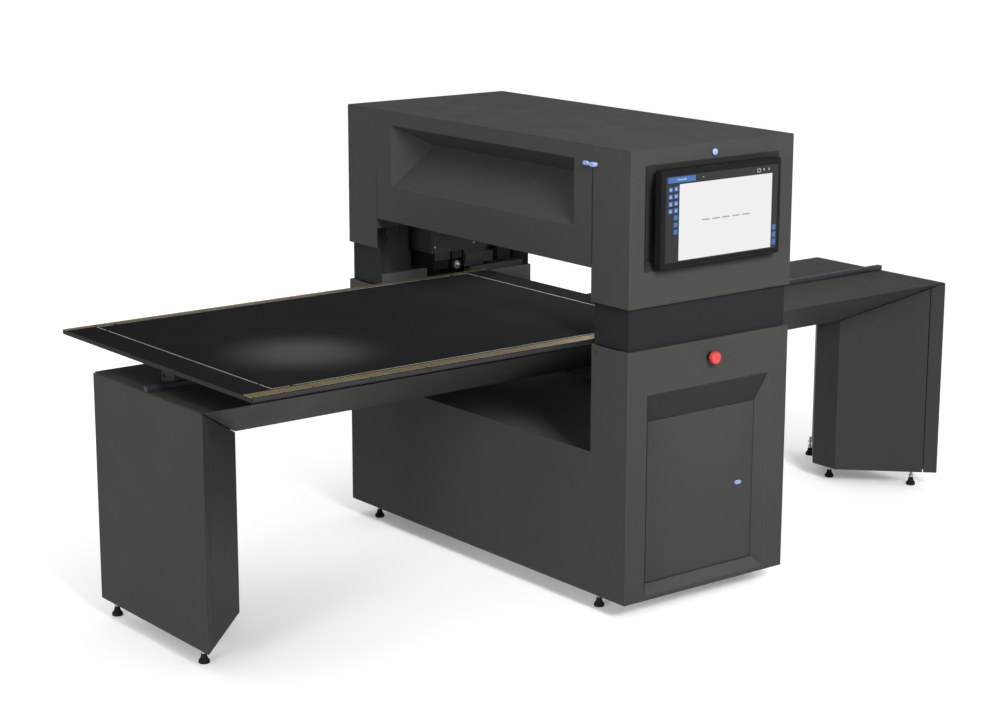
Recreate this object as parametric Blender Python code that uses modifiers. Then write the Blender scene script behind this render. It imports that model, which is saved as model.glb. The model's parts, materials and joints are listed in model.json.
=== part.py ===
"""Flatbed UV printer: a fixed gantry, a bridge on two legs, and a table that slides through.

Metres. +X is the table's travel, -Y is the operator's end with the touch screen, +Z is up.
The origin is on the floor under the middle of the machine.
"""
import math

import bmesh
import bpy
from mathutils import Matrix, Vector

# ---- driving dimensions -------------------------------------------------------------------
GAP = 0.0003            # clearance between touching sheets
SHEET = 0.003           # folded sheet metal
FLOOR_GAP = 0.060       # cabinet bottoms stand this far over the floor, on feet

GANTRY_X = 0.344        # half depth of the gantry, along the table's travel
GANTRY_Y = 0.754        # half length of the gantry
BASE_TOP = 0.876        # top of the base cabinet
HEAD_BOTTOM = 1.011     # underside of the head's two end housings
MACHINE_TOP = 1.500
BAND_INSET = 0.011      # the dark band between base and head stands back by this
COLUMN_Y = 0.5805       # inner face of both columns, the tunnel's side

NEAR_SEAM_Y = -0.575    # edge of the near end housing
FAR_SEAM_Y = 0.585      # edge of the far end housing
SEAM = 0.003            # gap around the front door
DOOR_BOTTOM = 1.117     # lower edge of the front door and the rear cover
DOOR_DEPTH = 0.028
HINGE_WIRE = 0.0011     # radius of the piano hinges' wires, which fill the doors' seams

RECESS_DEPTH = 0.032    # the end face's two recesses share one design
RECESS_SIDE = 0.032     # width of their side and bottom slopes
RECESS_HOOD = 0.095     # height of their top slope

TUNNEL_SILL = 0.527     # lower edge of the opening under the table
REAR_SILL = 0.808       # lower edge of the opening on the far side of the tunnel

BRIDGE_X = 1.600        # half length of the bridge
BRIDGE_Y = 0.3285       # half width at its outer skin
BRIDGE_INNER_Y = 0.059  # half width at its inner skin
BRIDGE_TOP = 0.797
BRIDGE_BOTTOM = 0.643   # underside of the beam
LEG_THICK = 0.272
END_STRIP = 0.037       # how far the leg's end cover wraps round
MITRE_GAP = 0.0025      # seam where the legs meet the beam

TABLE_X = (-1.576, 0.114)
TABLE_Y = 0.5675
TABLE_TOP = 0.887
TABLE_THICK = 0.015
RULER_NEAR_Y = (-0.5610, -0.5160)
RULER_FAR_Y = (0.5410, 0.5655)
RULER_THICK = 0.0012

FRAME_X = 0.312         # half width of the gantry's portals
FRAME_Y = (0.660, 0.700)  # both portals' thickness, mirrored on the near side
FRAME_Z = (0.074, 1.470)
FRAME_TUBE = 0.060      # width of the portals' bars
SHELF_Z = (0.430, 0.490)  # the portals' middle bar
BEAM_X = (0.200, 0.310) # cross beam that carries the carriage rail
BEAM_Z = (1.265, 1.395)
BEAM_WALL = 0.006

TANKS = 4
TANK_BANK = ((-0.205, -0.640, 0.135), (0.205, -0.420, 0.340))
TANK_PITCH = 0.1025
NECK_RADIUS = 0.019

CARRIAGE_X = (-0.100, 0.150)
CARRIAGE_Y = (0.590, 0.735)
PLATE_X = 0.166         # back of the carriage plate
RAIL_X = (0.1845, 0.1997)
RAIL_Z = (1.320, 1.340)
RAIL_LENGTH = 1.290
DRIVE_SCREW = (0.190, 0.000, 1.235)
DRIVE_SCREW_RADIUS = 0.008
HEAD_UNDERSIDE = 0.960  # underside of the print unit's body
ROLLER = (0.016, 0.6625, 0.9095)
ROLLER_RADIUS = 0.0185

PINION = (0.000, 0.4475, 0.8262)
PINION_RADIUS = 0.020
RACK_Y = (0.440, 0.455)
RACK_BOTTOM = 0.8465
RACK_LOW_X = -1.486       # just past the tooth that meets the pinion at full travel
BRACKETS_X = {"table_bracket_left": -1.4995, "table_bracket_right": -0.0300}
BRACKET_Y = (0.0045, 0.078)
BRACKET_PLATE = 0.012
BRACKET_WEB = 0.110       # length of the upright web that stands over the rail
SLIDE_RAIL_HALF = 0.0115  # half width of the rail along the bridge
SLIDE_RAIL_TOP = 0.815

SCREEN_SIZE = (0.505, 0.306)
SCREEN_Z = 1.283
SCREEN_PROUD = 0.042

BUTTON_Z = 1.470        # power button, over the screen
BUTTON_RADIUS = 0.0105
ESTOP_Z = 0.820
STEM_RADIUS = 0.006     # emergency stop's stem

PILL = (0.026, 0.0138)   # every latch and pull is a pill of this length and height

# ---- scene, collections, materials --------------------------------------------------------
for old in list(bpy.data.objects):
    bpy.data.objects.remove(old, do_unlink=True)

parts = bpy.data.collections.new("flatbed_uv_printer")
cutters = bpy.data.collections.new("cutters")
for group in (parts, cutters):
    bpy.context.scene.collection.children.link(group)

MATERIALS = {
    "body_paint": ((0.055, 0.055, 0.050), 0.55, 0.0),
    "dark_paint": ((0.024, 0.027, 0.029), 0.50, 0.0),
    "table_coat": ((0.012, 0.012, 0.013), 0.35, 0.0),
    "ruler_brass": ((0.420, 0.340, 0.150), 0.35, 1.0),
    "steel": ((0.560, 0.560, 0.570), 0.30, 1.0),
    "aluminium": ((0.600, 0.600, 0.610), 0.40, 1.0),
    "black_plastic": ((0.010, 0.010, 0.011), 0.40, 0.0),
    "screen_glass": ((0.700, 0.720, 0.740), 0.10, 0.0),
    "blue_plastic": ((0.330, 0.450, 0.780), 0.35, 0.0),
    "red_plastic": ((0.750, 0.045, 0.040), 0.35, 0.0),
    "rubber": ((0.015, 0.015, 0.015), 0.80, 0.0),
    "ink_plastic": ((0.650, 0.650, 0.620), 0.45, 0.0),
}


def material(slot):
    """The shared material of one slot, made on first use."""
    found = bpy.data.materials.get(slot)
    if found:
        return found
    colour, roughness, metallic = MATERIALS[slot]
    made = bpy.data.materials.new(slot)
    made.use_nodes = True
    shader = made.node_tree.nodes["Principled BSDF"]
    shader.inputs["Base Color"].default_value = (*colour, 1.0)
    shader.inputs["Roughness"].default_value = roughness
    shader.inputs["Metallic"].default_value = metallic
    return made


# ---- modelling helpers --------------------------------------------------------------------
def add(name, bm, slot, origin=(0, 0, 0), smooth=False):
    """An object from a bmesh drawn in world metres, with its own origin at `origin`."""
    bmesh.ops.transform(bm, matrix=Matrix.Translation(-Vector(origin)), verts=bm.verts)
    bmesh.ops.recalc_face_normals(bm, faces=bm.faces)
    mesh = bpy.data.meshes.new(name)
    bm.to_mesh(mesh)
    bm.free()
    if smooth:
        mesh.shade_smooth()
        mesh.set_sharp_from_angle(angle=math.radians(35))
    obj = bpy.data.objects.new(name, mesh)
    obj.location = origin
    if slot:
        mesh.materials.append(material(slot))
        parts.objects.link(obj)
    else:
        obj.hide_render = True
        obj.display_type = "WIRE"
        cutters.objects.link(obj)
    return obj


def cube(bm, lo, hi):
    """A box between two corners, drawn into bm."""
    size = [h - l for l, h in zip(lo, hi)]
    middle = [(h + l) / 2 for l, h in zip(lo, hi)]
    made = bmesh.ops.create_cube(bm, size=1.0)
    bmesh.ops.scale(bm, vec=size, verts=made["verts"])
    bmesh.ops.translate(bm, vec=middle, verts=made["verts"])


def box(name, lo, hi, slot, bevel=0.0):
    """A plain block, with its edges rounded where bevel is given."""
    bm = bmesh.new()
    cube(bm, lo, hi)
    obj = add(name, bm, slot, [(l + h) / 2 for l, h in zip(lo, hi)])
    if bevel:
        soften(obj, bevel)
    return obj


def soften(obj, width, segments=2):
    rounding = obj.modifiers.new("edges", "BEVEL")
    rounding.width = width
    rounding.segments = segments
    rounding.limit_method = "ANGLE"


def cylinder(bm, centre, axis, radius, length, segments=24, taper=None):
    """A cylinder or cone about axis, centred on centre, drawn into bm."""
    made = bmesh.ops.create_cone(bm, cap_ends=True, segments=segments, radius1=radius,
                                 radius2=radius if taper is None else taper, depth=length)
    turn = Vector((0, 0, 1)).rotation_difference(Vector(axis)).to_matrix().to_4x4()
    place = Matrix.Translation(centre) @ turn
    bmesh.ops.transform(bm, matrix=place, verts=made["verts"])


def rod(name, centre, axis, radius, length, slot, segments=24):
    bm = bmesh.new()
    cylinder(bm, centre, axis, radius, length, segments)
    return add(name, bm, slot, centre, smooth=True)


def turned(name, profile, centre, axis, slot, steps=24):
    """A turned piece: profile is (radius, height) from the axis at the top, out and down."""
    bm = bmesh.new()
    points = [bm.verts.new((radius, 0.0, height)) for radius, height in profile]
    for first, second in zip(points, points[1:]):
        bm.edges.new((first, second))
    obj = add(name, bm, slot)
    screw = obj.modifiers.new("turn", "SCREW")
    screw.steps = steps
    screw.render_steps = steps
    screw.use_merge_vertices = True
    screw.merge_threshold = 0.00001
    screw.use_smooth_shade = True
    obj.location = centre
    obj.rotation_euler = Vector((0, 0, 1)).rotation_difference(Vector(axis)).to_euler()
    return obj


def thicken(obj, thickness=SHEET):
    """Gives an open skin its sheet thickness, on its inner side."""
    skin = obj.modifiers.new("sheet", "SOLIDIFY")
    skin.thickness = thickness
    skin.offset = -1.0
    skin.use_even_offset = True
    skin.use_quality_normals = True


def cut(obj, *boxes, rods=()):
    """Takes boxes and round holes out of a piece."""
    bm = bmesh.new()
    for lo, hi in boxes:
        cube(bm, lo, hi)
    for centre, axis, radius, length in rods:
        cylinder(bm, centre, axis, radius, length, 12)
    tool = add(f"{obj.name}_cutter", bm, None)
    hole = obj.modifiers.new("openings", "BOOLEAN")
    hole.operation = "DIFFERENCE"
    hole.solver = "EXACT"
    hole.use_self = True
    hole.object = tool


def join(obj, *boxes, rods=()):
    """Welds boxes and rods to a piece; each reaches a little way into it."""
    for i, (lo, hi) in enumerate(boxes):
        bm = bmesh.new()
        cube(bm, lo, hi)
        weld(obj, add(f"{obj.name}_weld_{i + 1}", bm, None))
    for i, (centre, axis, radius, length) in enumerate(rods):
        bm = bmesh.new()
        cylinder(bm, centre, axis, radius, length, 16)
        weld(obj, add(f"{obj.name}_stub_{i + 1}", bm, None))


def weld(obj, tool):
    bond = obj.modifiers.new("weld", "BOOLEAN")
    bond.operation = "UNION"
    bond.solver = "EXACT"
    bond.object = tool


SIDES = {"-x": (0, -1), "+x": (0, 1), "-y": (1, -1), "+y": (1, 1), "-z": (2, -1), "+z": (2, 1)}


def faces_on(bm, side, place):
    axis, _ = SIDES[side]
    return [f for f in bm.faces if all(abs(v.co[axis] - place) < 1e-6 for v in f.verts)]


def folded_shell(name, lo, hi, open_sides, slot, recess=None, thickness=SHEET):
    """A box of folded sheet with some sides left out, and perhaps one sunken, sloped recess.

    recess is (side, opening, floor, depth, through): opening and floor are the low and high
    corners on the side's two other axes, and through leaves the floor out.
    """
    bm = bmesh.new()
    cube(bm, lo, hi)
    if recess:
        sink(bm, lo, hi, *recess)
    for side in open_sides:
        axis, sign = SIDES[side]
        place = hi[axis] if sign > 0 else lo[axis]
        bmesh.ops.delete(bm, geom=faces_on(bm, side, place), context="FACES_ONLY")
    loose = [e for e in bm.edges if not e.link_faces]
    bmesh.ops.delete(bm, geom=loose, context="EDGES")
    mesh_origin = [(l + h) / 2 for l, h in zip(lo, hi)]
    bm.normal_update()
    obj = skin_object(name, bm, slot, mesh_origin)
    thicken(obj, thickness)
    return obj


def skin_object(name, bm, slot, origin):
    """As add(), for an open skin whose faces already point the right way."""
    bmesh.ops.transform(bm, matrix=Matrix.Translation(-Vector(origin)), verts=bm.verts)
    mesh = bpy.data.meshes.new(name)
    bm.to_mesh(mesh)
    bm.free()
    mesh.materials.append(material(slot))
    obj = bpy.data.objects.new(name, mesh)
    obj.location = origin
    parts.objects.link(obj)
    return obj


def sink(bm, lo, hi, side, opening, floor, depth, through):
    """Splits one side at the opening and pushes the middle in to the floor's rectangle."""
    axis, sign = SIDES[side]
    place = hi[axis] if sign > 0 else lo[axis]
    across = [a for a in (0, 1, 2) if a != axis]
    for corner in opening:
        for a, value in zip(across, corner):
            faces = faces_on(bm, side, place)
            edges = {e for f in faces for e in f.edges}
            verts = {v for f in faces for v in f.verts}
            point = [0.0, 0.0, 0.0]
            point[a] = value
            normal = [0.0, 0.0, 0.0]
            normal[a] = 1.0
            bmesh.ops.bisect_plane(bm, geom=[*faces, *edges, *verts], dist=1e-6,
                                   plane_co=point, plane_no=normal)
    middle = [(l + h) / 2 for l, h in zip(*opening)]
    for face in faces_on(bm, side, place):
        centre = face.calc_center_median()
        if all(abs(centre[a] - m) < 1e-4 for a, m in zip(across, middle)):
            pushed = bmesh.ops.extrude_discrete_faces(bm, faces=[face])["faces"][0]
            break
    for vert in pushed.verts:
        for a, m, low, high in zip(across, middle, *floor):
            vert.co[a] = low if vert.co[a] < m else high
        vert.co[axis] = place - sign * depth
    if through:
        bmesh.ops.delete(bm, geom=[pushed], context="FACES_ONLY")
    bmesh.ops.remove_doubles(bm, verts=bm.verts, dist=1e-6)


def loft(name, first, second, closed, slot, inside, thickness=SHEET):
    """A folded skin between two sections, whose sheet grows towards the point `inside`."""
    bm = bmesh.new()
    ends = [[bm.verts.new(p) for p in section] for section in (first, second)]
    count = len(first)
    for i in range(count if closed else count - 1):
        j = (i + 1) % count
        bm.faces.new((ends[0][i], ends[0][j], ends[1][j], ends[1][i]))
    bm.normal_update()
    leans = [f.normal.dot(f.calc_center_median() - Vector(inside)) for f in bm.faces]
    if max(leans, key=abs) < 0:
        bmesh.ops.reverse_faces(bm, faces=bm.faces)
    obj = skin_object(name, bm, slot, first[0])
    thicken(obj, thickness)
    return obj


def pill(name, centre, along, out, depth, slot):
    """A round-ended knob: its length runs along `along` and it stands out along `out`."""
    length, height = PILL
    bm = bmesh.new()
    half = length / 2 - height / 2
    steps = 8
    outline = []
    for end, start in ((half, -90), (-half, 90)):
        for i in range(steps + 1):
            angle = math.radians(start + 180 * i / steps)
            outline.append((end + height / 2 * math.cos(angle), height / 2 * math.sin(angle)))
    along = Vector(along)
    out = Vector(out)
    up = out.cross(along)
    face = bm.faces.new([bm.verts.new(Vector(centre) + along * u + up * v) for u, v in outline])
    grown = bmesh.ops.extrude_face_region(bm, geom=[face])["geom"]
    moved = [g for g in grown if isinstance(g, bmesh.types.BMVert)]
    bmesh.ops.translate(bm, vec=out * depth, verts=moved)
    obj = add(name, bm, slot, centre, smooth=True)
    soften(obj, 0.0025)
    return obj


# ---- base cabinet -------------------------------------------------------------------------
def base_cabinet():
    bottom = FLOOR_GAP
    inner_x = GANTRY_X - SHEET - GAP
    front = box("base_front_panel", (-GANTRY_X, -GANTRY_Y, bottom),
                (-GANTRY_X + SHEET, GANTRY_Y, BASE_TOP), "body_paint")
    cut(front, ((-0.4, -COLUMN_Y, TUNNEL_SILL), (-0.3, COLUMN_Y, 1.0)))
    rear = box("base_rear_panel", (GANTRY_X - SHEET, -GANTRY_Y, bottom),
               (GANTRY_X, GANTRY_Y, BASE_TOP), "body_paint")
    beam_y = BRIDGE_Y + 0.012
    cut(rear, ((0.3, -COLUMN_Y, REAR_SILL), (0.4, COLUMN_Y, 1.0)),
        ((0.3, -beam_y, BRIDGE_BOTTOM - 0.02), (0.4, beam_y, REAR_SILL + 0.01)))

    opening = ((-0.2635, 0.073), (0.2635, 0.732))
    floor = ((opening[0][0] + RECESS_SIDE, opening[0][1] + RECESS_SIDE),
             (opening[1][0] - RECESS_SIDE, opening[1][1] - RECESS_HOOD))
    near = folded_shell("base_near_panel", (-inner_x, -GANTRY_Y, bottom),
                        (inner_x, -GANTRY_Y + 0.045, BASE_TOP), ("+y",), "body_paint",
                        ("-y", opening, floor, RECESS_DEPTH, True))
    cut(near, rods=(((0, -GANTRY_Y, ESTOP_Z), (0, 1, 0), STEM_RADIUS + 0.0008, 0.02),))
    folded_shell("base_far_panel", (-inner_x, GANTRY_Y - 0.045, bottom),
                 (inner_x, GANTRY_Y, BASE_TOP), ("-y",), "body_paint")
    wall = COLUMN_Y + GAP
    liner = [(-wall, BASE_TOP), (-wall, TUNNEL_SILL - 0.02),
             (wall, TUNNEL_SILL - 0.02), (wall, BASE_TOP)]
    loft("tunnel_liner", [(inner_x, y, z) for y, z in liner],
         [(-inner_x, y, z) for y, z in liner], False, "dark_paint", (0, 0, -5), 0.002)
    return floor


def ink_door(floor):
    """The door over the ink bay, hung on a pin along its -X edge."""
    y = -GANTRY_Y + RECESS_DEPTH
    low, high = floor
    folded_shell("ink_bay_door", (low[0] + SEAM, y, low[1] + SEAM / 2),
                 (high[0] - SEAM / 2, y + 0.016, high[1] - SEAM / 2), ("+y",), "body_paint",
                 thickness=0.002)
    rod("ink_door_hinge_pin", (low[0] + SEAM / 2, y, (low[1] + high[1]) / 2), (0, 0, 1),
        HINGE_WIRE, high[1] - low[1] - 0.010, "steel", 10)
    pill("ink_door_handle", (0.1640, y - GAP, 0.371), (1, 0, 0), (0, -1, 0), 0.008,
         "blue_plastic")


def frames():
    """One welded frame: a portal in each column, and the hollow beam that joins their heads."""
    inner_y, outer_y = FRAME_Y
    bottom, top = FRAME_Z
    frame = box("gantry_frame", (-FRAME_X, -outer_y, bottom), (FRAME_X, -inner_y, top),
                "dark_paint")
    join(frame, ((-FRAME_X, inner_y, bottom), (FRAME_X, outer_y, top)))
    gap = FRAME_X - FRAME_TUBE
    cut(frame, ((-gap, -1, bottom + FRAME_TUBE + 0.001), (gap, 1, SHELF_Z[0])),
        ((-gap, -1, SHELF_Z[1]), (gap, 1, top - FRAME_TUBE)))
    bite = inner_y + 0.001
    skid = (FRAME_X - 0.057, FRAME_X - 0.001)
    skid_z = (bottom + 0.002, bottom + 0.058)
    join(frame, ((BEAM_X[0], -bite, BEAM_Z[0]), (BEAM_X[1], bite, BEAM_Z[1])),
         ((-skid[1], -bite, skid_z[0]), (-skid[0], bite, skid_z[1])),
         ((skid[0], -bite, skid_z[0]), (skid[1], bite, skid_z[1])))
    cut(frame, ((BEAM_X[0] + BEAM_WALL, -1, BEAM_Z[0] + BEAM_WALL),
                (BEAM_X[1] - BEAM_WALL, 1, BEAM_Z[1] - BEAM_WALL)))
    ink_tanks()


def ink_tanks():
    """Four square ink tanks in one moulded bank, each with its own filler neck and cap."""
    low, high = TANK_BANK
    bank = box("ink_tank_bank", low, high, "ink_plastic")
    seams = [TANK_PITCH * (i + 1 - TANKS / 2) for i in range(TANKS - 1)]
    cut(bank, *[((x - 0.002, -1, 0.200), (x + 0.002, high[1] - 0.020, 1)) for x in seams])
    necks = [TANK_PITCH * (i + 0.5 - TANKS / 2) for i in range(TANKS)]
    join(bank, rods=[((x, low[1] + 0.055, high[2] + 0.012), (0, 0, 1), NECK_RADIUS, 0.030)
                     for x in necks])


# ---- band and head ------------------------------------------------------------------------
def bands():
    x = GANTRY_X - BAND_INSET
    y = GANTRY_Y - BAND_INSET
    low = BASE_TOP + GAP
    high = HEAD_BOTTOM - GAP
    near = [(-x, -COLUMN_Y), (-x, -y), (x, -y), (x, -COLUMN_Y)]
    loft("near_band_shroud", [(a, b, high) for a, b in near], [(a, b, low) for a, b in near],
         True, "dark_paint", (0, -(y + COLUMN_Y) / 2, 1.0), 0.002)
    far = [(x, COLUMN_Y), (x, y), (-x, y), (-x, COLUMN_Y)]
    loft("far_band_shroud", [(a, b, high) for a, b in far], [(a, b, low) for a, b in far],
         False, "dark_paint", (0, (y + COLUMN_Y) / 2, 1.0), 0.002)


def head_housings():
    top = MACHINE_TOP - SHEET - GAP
    opening = ((-0.285, 1.119), (0.285, 1.452))
    floor = ((opening[0][0] + RECESS_SIDE, opening[0][1] + RECESS_SIDE),
             (opening[1][0] - RECESS_SIDE, opening[1][1] - RECESS_HOOD))
    near = folded_shell("head_near_housing", (-GANTRY_X, -GANTRY_Y, HEAD_BOTTOM),
                        (GANTRY_X, NEAR_SEAM_Y, top), ("+y", "+z", "-z"), "body_paint",
                        ("-y", opening, floor, RECESS_DEPTH, False))
    cut(near, rods=(((0, -GANTRY_Y, BUTTON_Z), (0, 1, 0), BUTTON_RADIUS + 0.0005, 0.02),))
    folded_shell("head_far_housing", (-GANTRY_X, FAR_SEAM_Y, HEAD_BOTTOM),
                 (GANTRY_X, GANTRY_Y, top), ("-y", "+z", "-z"), "body_paint")
    inside = GANTRY_X - SHEET - GAP
    box("far_cheek_plate", (-inside, FAR_SEAM_Y + GAP, 1.080), (-0.130, FAR_SEAM_Y + 0.003, 1.460),
        "body_paint")
    box("head_top_cover", (-GANTRY_X, -GANTRY_Y, MACHINE_TOP - SHEET),
        (GANTRY_X, GANTRY_Y, MACHINE_TOP), "body_paint", 0.0012)
    rear = folded_shell("head_rear_cover", (GANTRY_X - DOOR_DEPTH, NEAR_SEAM_Y + GAP, DOOR_BOTTOM),
                        (GANTRY_X, FAR_SEAM_Y - GAP, top), ("-x",), "body_paint")
    slots = []
    for side in (-0.36, 0.36):
        for i in range(7):
            z = 1.215 + 0.028 * i
            slots.append(((0.33, side - 0.11, z), (0.36, side + 0.11, z + 0.010)))
    cut(rear, *slots)


def front_door():
    """The loading side's door: a long sunken hip, hung along its far edge."""
    low_y = NEAR_SEAM_Y + SEAM / 2
    high_y = FAR_SEAM_Y - SEAM
    top = MACHINE_TOP - SHEET - GAP
    opening = ((-0.488, 1.238), (0.492, 1.451))
    hip = 0.105
    ridge = 1.385
    floor = ((opening[0][0] + hip, ridge), (opening[1][0] - hip, ridge))
    folded_shell("front_door", (-GANTRY_X, low_y, DOOR_BOTTOM),
                 (-GANTRY_X + DOOR_DEPTH, high_y, top), ("+x",), "body_paint",
                 ("-x", opening, floor, hip, False), thickness=0.002)
    rod("front_door_hinge_pin", (-GANTRY_X + 0.0002, FAR_SEAM_Y - SEAM / 2, 1.305), (0, 0, 1),
        HINGE_WIRE, 0.370, "steel", 10)
    pill("door_striker", (-GANTRY_X - GAP, -0.549, 1.442), (0, -1, 0), (-1, 0, 0), 0.008,
         "blue_plastic")
    pill("door_latch", (-GANTRY_X - GAP, -0.589, 1.442), (0, -1, 0), (-1, 0, 0), 0.016,
         "blue_plastic")


# ---- print carriage -----------------------------------------------------------------------
def carriage():
    half = RAIL_LENGTH / 2
    box("carriage_rail", (RAIL_X[0], -half, RAIL_Z[0]), (RAIL_X[1], half, RAIL_Z[1]), "steel",
        0.001)
    rod("carriage_screw", DRIVE_SCREW, (0, 1, 0), DRIVE_SCREW_RADIUS, 1.240, "steel", 16)

    x0, x1 = CARRIAGE_X
    y0, y1 = CARRIAGE_Y
    plate = box("carriage_plate", (x1 + GAP, y0 + 0.010, 1.000), (PLATE_X, y1 - 0.010, 1.400),
                "aluminium")
    bite = PLATE_X - 0.001
    join(plate, ((bite, 0.600, RAIL_Z[0] - 0.015), (RAIL_X[1] - 0.0027, 0.643, RAIL_Z[1] + 0.015)),
         ((bite, 0.602, DRIVE_SCREW[2] - 0.020), (DRIVE_SCREW[0] + 0.022, 0.618,
                                                  DRIVE_SCREW[2] + 0.020)))
    cut(plate, ((RAIL_X[0] - GAP, 0.5, RAIL_Z[0] - GAP), (0.22, 0.7, RAIL_Z[1] + GAP)),
        rods=(((DRIVE_SCREW[0], 0.61, DRIVE_SCREW[2]), (0, 1, 0), DRIVE_SCREW_RADIUS + 0.0005,
               0.1),))

    module = box("print_head_module", (x0, y0, HEAD_UNDERSIDE), (x1, y1, 1.185), "dark_paint",
                 0.002)
    cut(module, rods=[((x0 + 0.035 + 0.045 * i, y0, 1.150 - 0.030 * j), (0, 1, 0), 0.004, 0.012)
                      for i in range(5) for j in range(3)])
    under = HEAD_UNDERSIDE - GAP
    box("print_heads", (0.050, y0 + 0.010, 0.897), (0.140, y1 - 0.010, under), "steel", 0.002)
    lamp = box("uv_lamp", (-0.092, y0 + 0.004, 0.900), (-0.024, y1 - 0.010, under),
               "black_plastic")
    cut(lamp, *[((-0.086 + 0.0095 * i, y0, 0.934), (-0.0815 + 0.0095 * i, y0 + 0.030, 0.970))
                for i in range(6)])
    rod("guide_roller", ROLLER, (0, 1, 0), ROLLER_RADIUS, 0.140, "rubber", 24)
    box("capping_station", (0.090, 0.602, 0.700), (0.326, 0.655, 0.893), "dark_paint", 0.002)


# ---- bridge and table ---------------------------------------------------------------------
def section(side, height, fractions):
    """Corners of a leg's section: fractions runs along the path out-in-in-out of one leg.

    A fraction 0 is the outer corner and 1 the inner corner of the sloping flank; the height
    is the outer skin's, and `height` None lies on the mitre between leg and beam.
    """
    points = []
    for flank, f in fractions:
        x = side * (BRIDGE_X - LEG_THICK * f)
        y = flank * (BRIDGE_Y + (BRIDGE_INNER_Y - BRIDGE_Y) * f)
        mitre = BRIDGE_TOP + (BRIDGE_BOTTOM - BRIDGE_TOP) * f
        z = mitre if height is None else height
        points.append((x, y, z))
    return points


def bridge():
    f = END_STRIP / LEG_THICK
    slit = 0.004
    for name, side in (("left", -1), ("right", 1)):
        inner = [(-1, f + slit), (-1, 1.0), (1, 1.0), (1, f + slit)]
        outer = [(1, f - slit), (1, 0.0), (-1, 0.0), (-1, f - slit)]
        middle = (side * (BRIDGE_X - 0.11), 0.0, 0.4)
        for part, edge in ((f"{name}_leg_cover", inner), (f"{name}_leg_end_cover", outer)):
            top = [(x, y, z - MITRE_GAP) for x, y, z in section(side, None, edge)]
            loft(part, section(side, FLOOR_GAP, edge), top, False, "body_paint", middle)
    corners = [(-1, 0.0), (-1, 1.0), (1, 1.0), (1, 0.0)]
    ends = []
    for side in (-1, 1):
        tuck = [side * (SHEET + 0.0005) * (1 - f) for _, f in corners]
        points = section(side, None, corners)
        ends.append([(x - t, y, z) for (x, y, z), t in zip(points, tuck)])
    middle = (0.0, 0.0, (BRIDGE_TOP + BRIDGE_BOTTOM) / 2)
    loft("beam_cover", ends[1], ends[0], True, "body_paint", middle)
    box("linear_rail", (-BRIDGE_X, -SLIDE_RAIL_HALF, BRIDGE_TOP + GAP),
        (BRIDGE_X, SLIDE_RAIL_HALF, SLIDE_RAIL_TOP), "steel", 0.001)


def table():
    low_x, high_x = TABLE_X
    under = TABLE_TOP - TABLE_THICK
    top = box("table_top", (low_x, -TABLE_Y, under), (high_x, TABLE_Y, TABLE_TOP), "table_coat")
    rebate = TABLE_TOP - RULER_THICK
    rulers = {"ruler_near": RULER_NEAR_Y, "ruler_far": RULER_FAR_Y}
    cut(top, *[((low_x - 1, low_y - GAP, rebate), (high_x + 1, high_y + GAP, 1))
               for low_y, high_y in rulers.values()])
    for name, (low_y, high_y) in rulers.items():
        box(name, (low_x, low_y, rebate + GAP), (high_x, high_y, TABLE_TOP), "ruler_brass")
    near_y, far_y = BRACKET_Y
    bottom = 0.805
    for name, x in BRACKETS_X.items():
        bracket = box(name, (x, near_y, bottom), (x + BRACKET_PLATE, far_y, under - GAP), "body_paint")
        join(bracket, ((x + 0.002, near_y + 0.001, bottom + 0.001),
                       (x + BRACKET_WEB, near_y + 0.001 + BRACKET_PLATE, under - GAP - 0.001)))
        cut(bracket, ((x - 1, -1, 0.7), (x + 1, SLIDE_RAIL_HALF + 0.0004, SLIDE_RAIL_TOP + 0.0004)),
            rods=(((x, far_y - 0.016, 0.819), (1, 0, 0), 0.007, 0.1),))
    box("table_rack", (RACK_LOW_X, RACK_Y[0], RACK_BOTTOM),
        (high_x - 0.006, RACK_Y[1], under - GAP), "steel")
    rod("drive_pinion", PINION, (0, 1, 0), PINION_RADIUS, 0.019, "steel", 24)
    box("table_drive_motor", (-0.032, PINION[1] + 0.010, 0.785), (0.032, 0.5785, 0.858),
        "black_plastic", 0.003)


# ---- feet, screen and controls ------------------------------------------------------------
def feet():
    places = {
        "foot_base_1": (-0.290, -0.570), "foot_base_2": (-0.290, 0.660),
        "foot_base_3": (0.290, -0.570), "foot_base_4": (0.290, 0.660),
        "foot_left_1": (-1.562, -0.235), "foot_left_2": (-1.562, 0.300),
        "foot_left_3": (-1.392, 0.030), "foot_right_1": (1.562, -0.235),
        "foot_right_2": (1.562, 0.300), "foot_right_3": (1.392, 0.030),
    }
    profile = [(0.0, 0.0737), (0.006, 0.0737), (0.006, 0.034), (0.010, 0.033), (0.018, 0.012),
               (0.020, 0.006), (0.020, 0.0), (0.0, 0.0)]
    for name, (x, y) in places.items():
        turned(name, profile, (x, y, 0.0), (0, 0, 1), "rubber", 16)


def touch_screen():
    width, height = SCREEN_SIZE
    front = -GANTRY_Y - SCREEN_PROUD
    back = -GANTRY_Y - 0.006
    low = SCREEN_Z - height / 2
    high = SCREEN_Z + height / 2
    case = box("screen_housing", (-width / 2, front, low), (width / 2, back, high),
               "black_plastic", 0.006)
    cut(case, ((-0.238, front - 0.01, SCREEN_Z - 0.134), (0.238, front + 0.003, SCREEN_Z + 0.134)))
    box("screen_panel", (-0.2377, front + 0.0008, SCREEN_Z - 0.1337),
        (0.2377, front + 0.0027, SCREEN_Z + 0.1337), "screen_glass")
    join(case, ((-0.060, back - 0.005, 1.215), (0.060, -GANTRY_Y + RECESS_DEPTH - GAP, 1.335)))


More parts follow.
